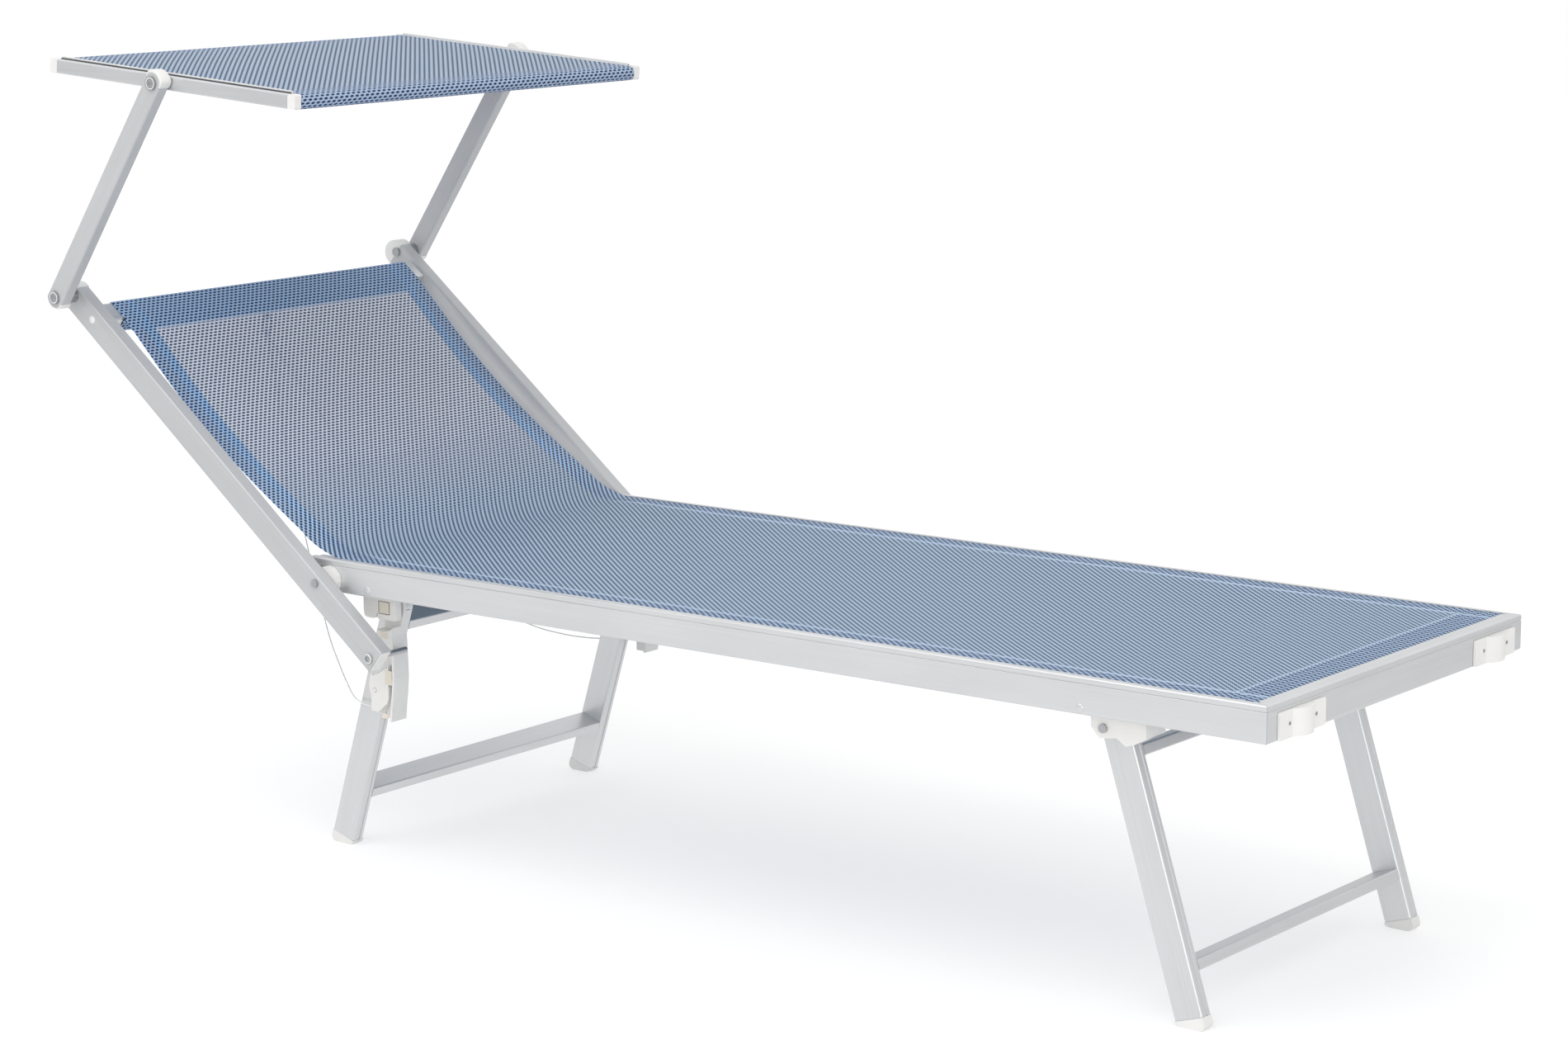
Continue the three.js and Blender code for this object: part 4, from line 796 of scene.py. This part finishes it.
def endCap(name, bar, straight, dome, place, body):
    # a block with a domed end over a bar's end; place(x, y, z) gives a point of the bar's own frame
    half = bar["half"]
    arch = [math.radians(a) for a in range(0, 181, caps["domeStep"])]
    outline = [(-half, bar["from"]), (half, bar["from"])]
    outline += [(half * math.cos(a), straight + dome * math.sin(a)) for a in arch]
    n = len(outline)
    points, faces = [], []
    for side in sides:
        start = len(points)
        points += [place(x, side * y, z) for y in bar["faces"] for x, z in outline]
        faces.append(tuple(start + k for k in range(n)))
        faces.append(tuple(start + n + k for k in range(n - 1, -1, -1)))
        faces += [(start + k, start + n + k, start + n + (k + 1) % n, start + (k + 1) % n) for k in range(n)]
    piece = bevelled(meshPiece(name, points, faces, white, smooth=False), caps["edge"], caps["segments"])
    piece.data.shade_smooth()
    carried(piece, body)


armTop = lambda x, y, z: inFrame(armFrame, x, y, armBar["length"] + z)
armLow = lambda x, y, z: inFrame(armFrame, -x, y, -z)
tubeTop = lambda x, y, z: inFrame(backrestFrame, -z, y, tubeBar["middle"] + x)
endCap("arm_caps_top", armBar, armBar["straight"], caps["dome"], armTop, "canopy_arms")
endCap("arm_caps_low", armBar, armBar["straightLow"], caps["dome"], armLow, "canopy_arms")
endCap("backrest_tube_caps", tubeBar, tubeBar["straight"], tubeBar["half"], tubeTop, "backrest")


boxSegments = 2                               # steps in the rounding of a small box's edges


def boxes(name, corners, place, body, finish, edge):
    # small boxes in a body's own axes, each as (x, y, z) of two corners in mm, made on both sides
    points, faces = [], []
    for low, high in corners:
        for side in sides:
            start = len(points)
            points += [place(x, side * y, z) for x in (low[0], high[0]) for y in (low[1], high[1])
                       for z in (low[2], high[2])]
            faces += [tuple(start + k for k in face) for face in
                      ((0, 1, 3, 2), (4, 6, 7, 5), (0, 4, 5, 1), (2, 3, 7, 6), (0, 2, 6, 4), (1, 5, 7, 3))]
    piece = bevelled(meshPiece(name, points, faces, finish[0], smooth=False), edge, boxSegments)
    carried(piece, body)


# white plugs in the low ends of the backrest tubes, with a rim that lies flush with the tube
plug = {"corners": ((130.0, 320.2, -17.2), (145.2, 338.8, 17.2)), "edge": 0.8}
tubePoint = lambda x, y, z: inFrame(backrestFrame, x, y, tubeBar["middle"] + z)
boxes("backrest_tube_plugs", [plug["corners"]], tubePoint, "backrest", whitePart, plug["edge"])


# washers on the arms' pivots, as (radius, height) in mm
washer = {"steps": 32, "outer": 375.3, "screwOut": 2.2,
          "profile": [(5.7, 0), (5.7, 2.0), (6.1, 2.7), (7.0, 3.1), (8.2, 3.0), (9.0, 2.3), (9.4, 1.2),
                      (9.4, 0)]}
armPivots = {"low": ("canopy_arm_swing", "backrest"), "top": ("canopy_tilt", "canopy_arms")}


def turnedRings(name, profile, places, body):
    # a turned piece for each place: (point, direction), with the profile's height along it
    points, faces, steps, n = [], [], washer["steps"], len(profile)
    for place, aim in places:
        across = aim.orthogonal().normalized()
        other = aim.cross(across)
        start = len(points)
        for k in range(steps):
            angle = 2 * math.pi * k / steps
            out = across * math.cos(angle) + other * math.sin(angle)
            points += [place + out * radius * mm + aim * height * mm for radius, height in profile]
            here, beyond = start + k * n, start + (k + 1) % steps * n
            faces += [(here + i, here + (i + 1) % n, beyond + (i + 1) % n, beyond + i) for i in range(n)]
    carried(outward(meshPiece(name, points, faces, white)), body)


def onSides(point, y):                        # a point of the side view on both sides, with the way outwards
    return [(Vector((point.x, side * y * mm, point.z)), Vector((0, side, 0))) for side in sides]


for end, (joint, body) in armPivots.items():
    turnedRings("arm_washers_" + end, washer["profile"], onSides(jointPlace(joint), washer["outer"]), body)
print("caps, plugs and washers made")

# a white strip along the cloth's edge on each of the canopy's rails, and beside it a dark strip: painted shadow,
# for the gap between the white strip and the rail
strips = {"white": (whitePart, (-213.5, 341.8, 9.0), (237.5, 345.0, 13.2)),
          "dark": ((shadowLine, "white_plastic"), (-213.5, 345.0, 9.0), (237.5, 347.2, 11.6))}
stripEdge = 0.3
canopyPoint = lambda x, y, z: inFrame(canopyFrame, x, y, z)
for name, (finish, *corners) in strips.items():
    boxes("canopy_strips_" + name, [corners], canopyPoint, "canopy", finish, stripEdge)

# painted shade in the pockets of the racks and of the brackets above them: thin plates in a warm grey
# that stand in for the shade in each hollow; and the front wall that closes each rack between its block
# and its lower flange. All in mm from the foot rail's outer face
rack = {
    "pockets": [((-1406.5, 284.02, 311.0), (-1392.5, 284.22, 319.4)),
                ((-1400.5, 284.02, 246.5), (-1387.5, 284.22, 266.5)),
                ((-1407.5, 284.02, 198.5), (-1397.5, 284.22, 205.5))],
    "bracket": [((-1407.5, 284.28, 345.5), (-1389.0, 284.6, 361.5))], "pocketEdge": 0.1,
    "wall": [((-1387.2, 268.6, 278.3), (-1383.7, 284.15, 298.7))], "wallEdge": 0.15,
}
drawn = lambda x, y, z: Vector((footFace + x * mm, y * mm, z * mm))
shadedPocket = (pocket, "white_plastic")
# the warm grey plates are painted shade for the hollows of the racks and the brackets
boxes("rack_pocket_shades", rack["pockets"], drawn, "rear_legs", shadedPocket, rack["pocketEdge"])
boxes("bracket_pocket_shades", rack["bracket"], drawn, "main_frame", shadedPocket, rack["pocketEdge"])
boxes("rack_front_walls", rack["wall"], drawn, "rear_legs", whitePart, rack["wallEdge"])
print("strips, pockets and walls made")


# screws and rivets: one tree, set on points that carry the way the head looks. Sizes in mm: the
# head's radius and height, and its recess' length and width, which a rivet hardly has. The recess is
# cut as deep as a share of the height
heads = {
    "arm": (5.5, 1.6, 7.2, 2.1), "latchPin": (5.2, 1.6, 6.8, 2.1), "crossbar": (5.6, 1.9, 0.02, 0.02),
    "rail": (5.2, 1.6, 0.02, 0.02), "bumper": (2.6, 0.9, 2.6, 0.7),
    "recessDepth": 1.9, "segments": 24, "rings": 14,
}
headSockets = {"Head Radius": "Float", "Head Height": "Float", "Recess Length": "Float",
               "Recess Width": "Float", "Finish": "Material"}


def headTree():
    # a low dome, with an optional cross recess cut into it
    tree = bpy.data.node_groups.new("screwHeads", "GeometryNodeTree")
    for way in ("INPUT", "OUTPUT"):
        tree.interface.new_socket("Geometry", in_out=way, socket_type="NodeSocketGeometry")
    ids = {label: tree.interface.new_socket(label, in_out="INPUT", socket_type="NodeSocket" + kind).identifier
           for label, kind in headSockets.items()}
    given = addNode(tree, "NodeGroupInput").node.outputs
    radius, height, long, wide, finish = (given[label] for label in ids)
    deep = addNode(tree, "ShaderNodeMath", {"operation": "MULTIPLY"}, {0: height, 1: heads["recessDepth"]})
    ball = addNode(tree, "GeometryNodeMeshUVSphere", None,
                   {"Segments": heads["segments"], "Rings": heads["rings"], "Radius": 1.0})
    squat = addNode(tree, "ShaderNodeCombineXYZ", None, {0: radius, 1: radius, 2: height})
    dome = addNode(tree, "GeometryNodeTransform", None, {"Geometry": ball, "Scale": squat})
    cut = addNode(tree, "GeometryNodeMeshBoolean", {"operation": "DIFFERENCE", "solver": "EXACT"},
                  {"Mesh 1": dome})
    lift = addNode(tree, "ShaderNodeCombineXYZ", None, {2: height})
    for first, second in ((long, wide), (wide, long)):
        size = addNode(tree, "ShaderNodeCombineXYZ", None, {0: first, 1: second, 2: deep})
        block = addNode(tree, "GeometryNodeMeshCube", None, {"Size": size})
        bar = addNode(tree, "GeometryNodeTransform", None, {"Geometry": block, "Translation": lift})
        fillInputs(cut.node, {"Mesh 2": bar})
    aim = addNode(tree, "GeometryNodeInputNamedAttribute", {"data_type": "FLOAT_VECTOR"}, {"Name": "aim"})
    turn = addNode(tree, "FunctionNodeAlignRotationToVector", {"axis": "Z"}, {"Vector": aim})
    placed = addNode(tree, "GeometryNodeInstanceOnPoints", None,
                     {"Points": given[0], "Instance": cut, "Rotation": turn})
    real = addNode(tree, "GeometryNodeRealizeInstances", None, {0: placed})
    painted = addNode(tree, "GeometryNodeSetMaterial", None, {"Geometry": real, "Material": finish})
    addNode(tree, "NodeGroupOutput", None, {0: painted})
    return tree, ids


headNodes, headIds = headTree()


def fasteners(name, places, sizes, finish, body):
    mesh = bpy.data.meshes.new(name)
    mesh.from_pydata([tuple(place) for place, _ in places], [], [])
    aim = mesh.attributes.new("aim", "FLOAT_VECTOR", "POINT")
    for index, (_, direction) in enumerate(places):
        aim.data[index].vector = direction
    piece = newObject(name, mesh)
    modifier = piece.modifiers.new("heads", "NODES")
    modifier.node_group = headNodes
    for label, value in zip(headSockets, [size * mm for size in sizes] + [finish[0]]):
        modifier[headIds[label]] = value
    carried(applied(piece), body)


# the latch pins' white rings, a painted highlight for the bright edge of each screw's head, as (radius, height),
# and the places of rings and heads: (along, up, out) on the backrest tubes and (x, up, out) in the drawing, in mm
fittings = {
    "ring": [(5.0, 0), (5.0, 0.9), (6.0, 1.2), (6.8, 0.7), (6.9, 0)],
    "latchHighlightRing": (133.2, -11.6, 342.6), "latchPin": (133.2, -11.6, 343.4), "crossbar": (-538.5, -6.5, 340.5),
    "railRear": (-1404, 380.6, 310), "railFront": (-252.6, 379.7, 310),
    "bumperUp": 389.0, "bumperOut": (205.0, 265.0), "bumperDeep": 3.0,
}


def onTube(along, up, out):
    return onSides(inFrame(backrestFrame, along, 0, up), out)


for end, (joint, body) in armPivots.items():
    screwOut = washer["outer"] + washer["screwOut"]
    fasteners("arm_screws_" + end, onSides(jointPlace(joint), screwOut), heads["arm"], steelHead, body)
# a white ring round each latch pin screw: painted highlight on the edge of its head
turnedRings("latch_pin_highlight_rings", fittings["ring"], onTube(*fittings["latchHighlightRing"]), "backrest")
fasteners("latch_pin_screws", onTube(*fittings["latchPin"]), heads["latchPin"], steelHead, "backrest")
fasteners("crossbar_rivets", onTube(*fittings["crossbar"]), heads["crossbar"], whitePart, "backrest")
for name, key in (("rail_rivets_rear", "railRear"), ("rail_rivets_front", "railFront")):
    x, up, out = fittings[key]
    fasteners(name, onSides(drawn(x, 0, up), out), heads["rail"], railHead, "main_frame")
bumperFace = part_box("foot_bumper_right")[0][0] + fittings["bumperDeep"] * mm
bumperScrews = [(Vector((bumperFace, side * y * mm, fittings["bumperUp"] * mm)), Vector((1, 0, 0)))
                for side in sides for y in fittings["bumperOut"]]
fasteners("bumper_screws", bumperScrews, heads["bumper"], steelHead, "main_frame")
print("screws and rivets set")


# floor, light and background, in metres
studio = {
    "ambient": 0.93, "seenWhite": 1.0, "floorGlow": 0.42, "floorGloss": 0.85, "floorWhite": 1.25,
    "brightSpot": (-0.8, -1.2, 0.0), "brightReach": (1.5, 4.2), "dimGloss": 0.66, "horizon": (0.0, 0.5),
    "paint": ("#f4f4f4", "#f8f8f8"), "grain": 3.0, "grainDetail": 2.0, "matt": 0.9, "floorHalf": 14,
}
# the lamps: place, what they are aimed at, size and power
lamps = {
    "keyLight": ((-0.2, -2.2, 4.2), (0, 0, 0.3), (4.0, 3.0), 55.0),
    "fillLight": ((3.4, -3.4, 1.2), (-0.3, 0, 0.5), (3.0, 2.0), 42.0),
}


def seenRays(tree, at, reach, ends, plain):
    # the rays in a gloss, those that end in the camera, and how bright they find the place: plain
    # outside a gloss, and inside it between two ends
    rays = addNode(tree, "ShaderNodeLightPath").node.outputs
    gloss = rays["Is Glossy Ray"]
    mirrored = addNode(tree, "ShaderNodeMath", {"operation": "MAXIMUM"},
                       {0: gloss, 1: rays["Is Transmission Ray"]})
    seen = addNode(tree, "ShaderNodeMath", {"operation": "MAXIMUM"},
                   {0: rays["Is Camera Ray"], 1: mirrored})
    dimmed = addNode(tree, "ShaderNodeMapRange", None,
                     {"Value": at, "From Min": reach[0], "From Max": reach[1],
                      "To Min": ends[0], "To Max": ends[1]})
    strength = addNode(tree, "ShaderNodeMix", {"data_type": "FLOAT"}, {0: gloss, 2: plain, 3: dimmed})
    return gloss, seen, strength


def addFloor():
    # matt pale paint with a glow on it: the camera sees it nearly white, and it keeps a soft shadow. In
    # reflections the glow is painted light, brightest around a spot near the lounger
    material, tree, surface = newMaterial("paleStudioFloor")
    place = addNode(tree, "ShaderNodeTexCoord", output="Object")
    grain = addNode(tree, "ShaderNodeTexNoise", None,
                    {"Vector": place, "Scale": studio["grain"], "Detail": studio["grainDetail"]})
    dark, light = studio["paint"]
    colour = addNode(tree, "ShaderNodeMix", {"data_type": "RGBA"},
                     {0: grain, 6: linear(dark), 7: linear(light)}, 2)
    fillInputs(surface, {"Base Color": colour, "Roughness": studio["matt"]})
    away = addNode(tree, "ShaderNodeVectorMath", {"operation": "DISTANCE"},
                   {0: place, 1: studio["brightSpot"]}, "Value")
    glossy, seen, strength = seenRays(tree, away, studio["brightReach"], (1.0, studio["dimGloss"]),
                                      studio["floorWhite"])
    glow = addNode(tree, "ShaderNodeEmission", None, {"Color": (1, 1, 1, 1), "Strength": strength})
    glowShare = addNode(tree, "ShaderNodeMix", {"data_type": "FLOAT"},
                        {0: glossy, 2: studio["floorGlow"], 3: studio["floorGloss"]})
    share = addNode(tree, "ShaderNodeMath", {"operation": "MULTIPLY"}, {0: seen, 1: glowShare})
    mix = addNode(tree, "ShaderNodeMixShader", None, {0: share, 1: surface.outputs[0], 2: glow})
    fillInputs(next(n for n in tree.nodes if n.bl_idname == "ShaderNodeOutputMaterial"), {0: mix})
    h = studio["floorHalf"]
    meshPiece("floor", [(-h, -h, 0), (h, -h, 0), (h, h, 0), (-h, h, 0)], [(0, 1, 2, 3)], material)


def addWorld():
    world = bpy.data.worlds.new("whiteStudio")
    bpy.context.scene.world = world
    world.use_nodes = True
    tree = world.node_tree
    tree.nodes.clear()
    ambient = addNode(tree, "ShaderNodeBackground", None,
                      {"Color": (1, 1, 1, 1), "Strength": studio["ambient"]})
    ways = addNode(tree, "ShaderNodeTexCoord", output="Generated")
    height = addNode(tree, "ShaderNodeSeparateXYZ", None, {0: ways}, 2)
    _, seen, strength = seenRays(tree, height, studio["horizon"], (studio["dimGloss"], 1.0),
                                 studio["seenWhite"])
    bright = addNode(tree, "ShaderNodeBackground", None, {"Color": (1, 1, 1, 1), "Strength": strength})
    mix = addNode(tree, "ShaderNodeMixShader", None, {0: seen, 1: ambient, 2: bright})
    addNode(tree, "ShaderNodeOutputWorld", None, {0: mix})


def addLamp(name, place, aim, size, power):
    lamp = bpy.data.lights.new(name, "AREA")
    lamp.shape = "RECTANGLE"
    lamp.size, lamp.size_y = size
    lamp.energy = power
    light = newObject(name, lamp)
    light.location = place
    light.rotation_euler = (Vector(aim) - Vector(place)).to_track_quat("-Z", "Y").to_euler()


addFloor()
addWorld()
for name, lamp in lamps.items():
    addLamp(name, *lamp)
bpy.context.scene.view_settings.view_transform = "Standard"
print("floor and light set")
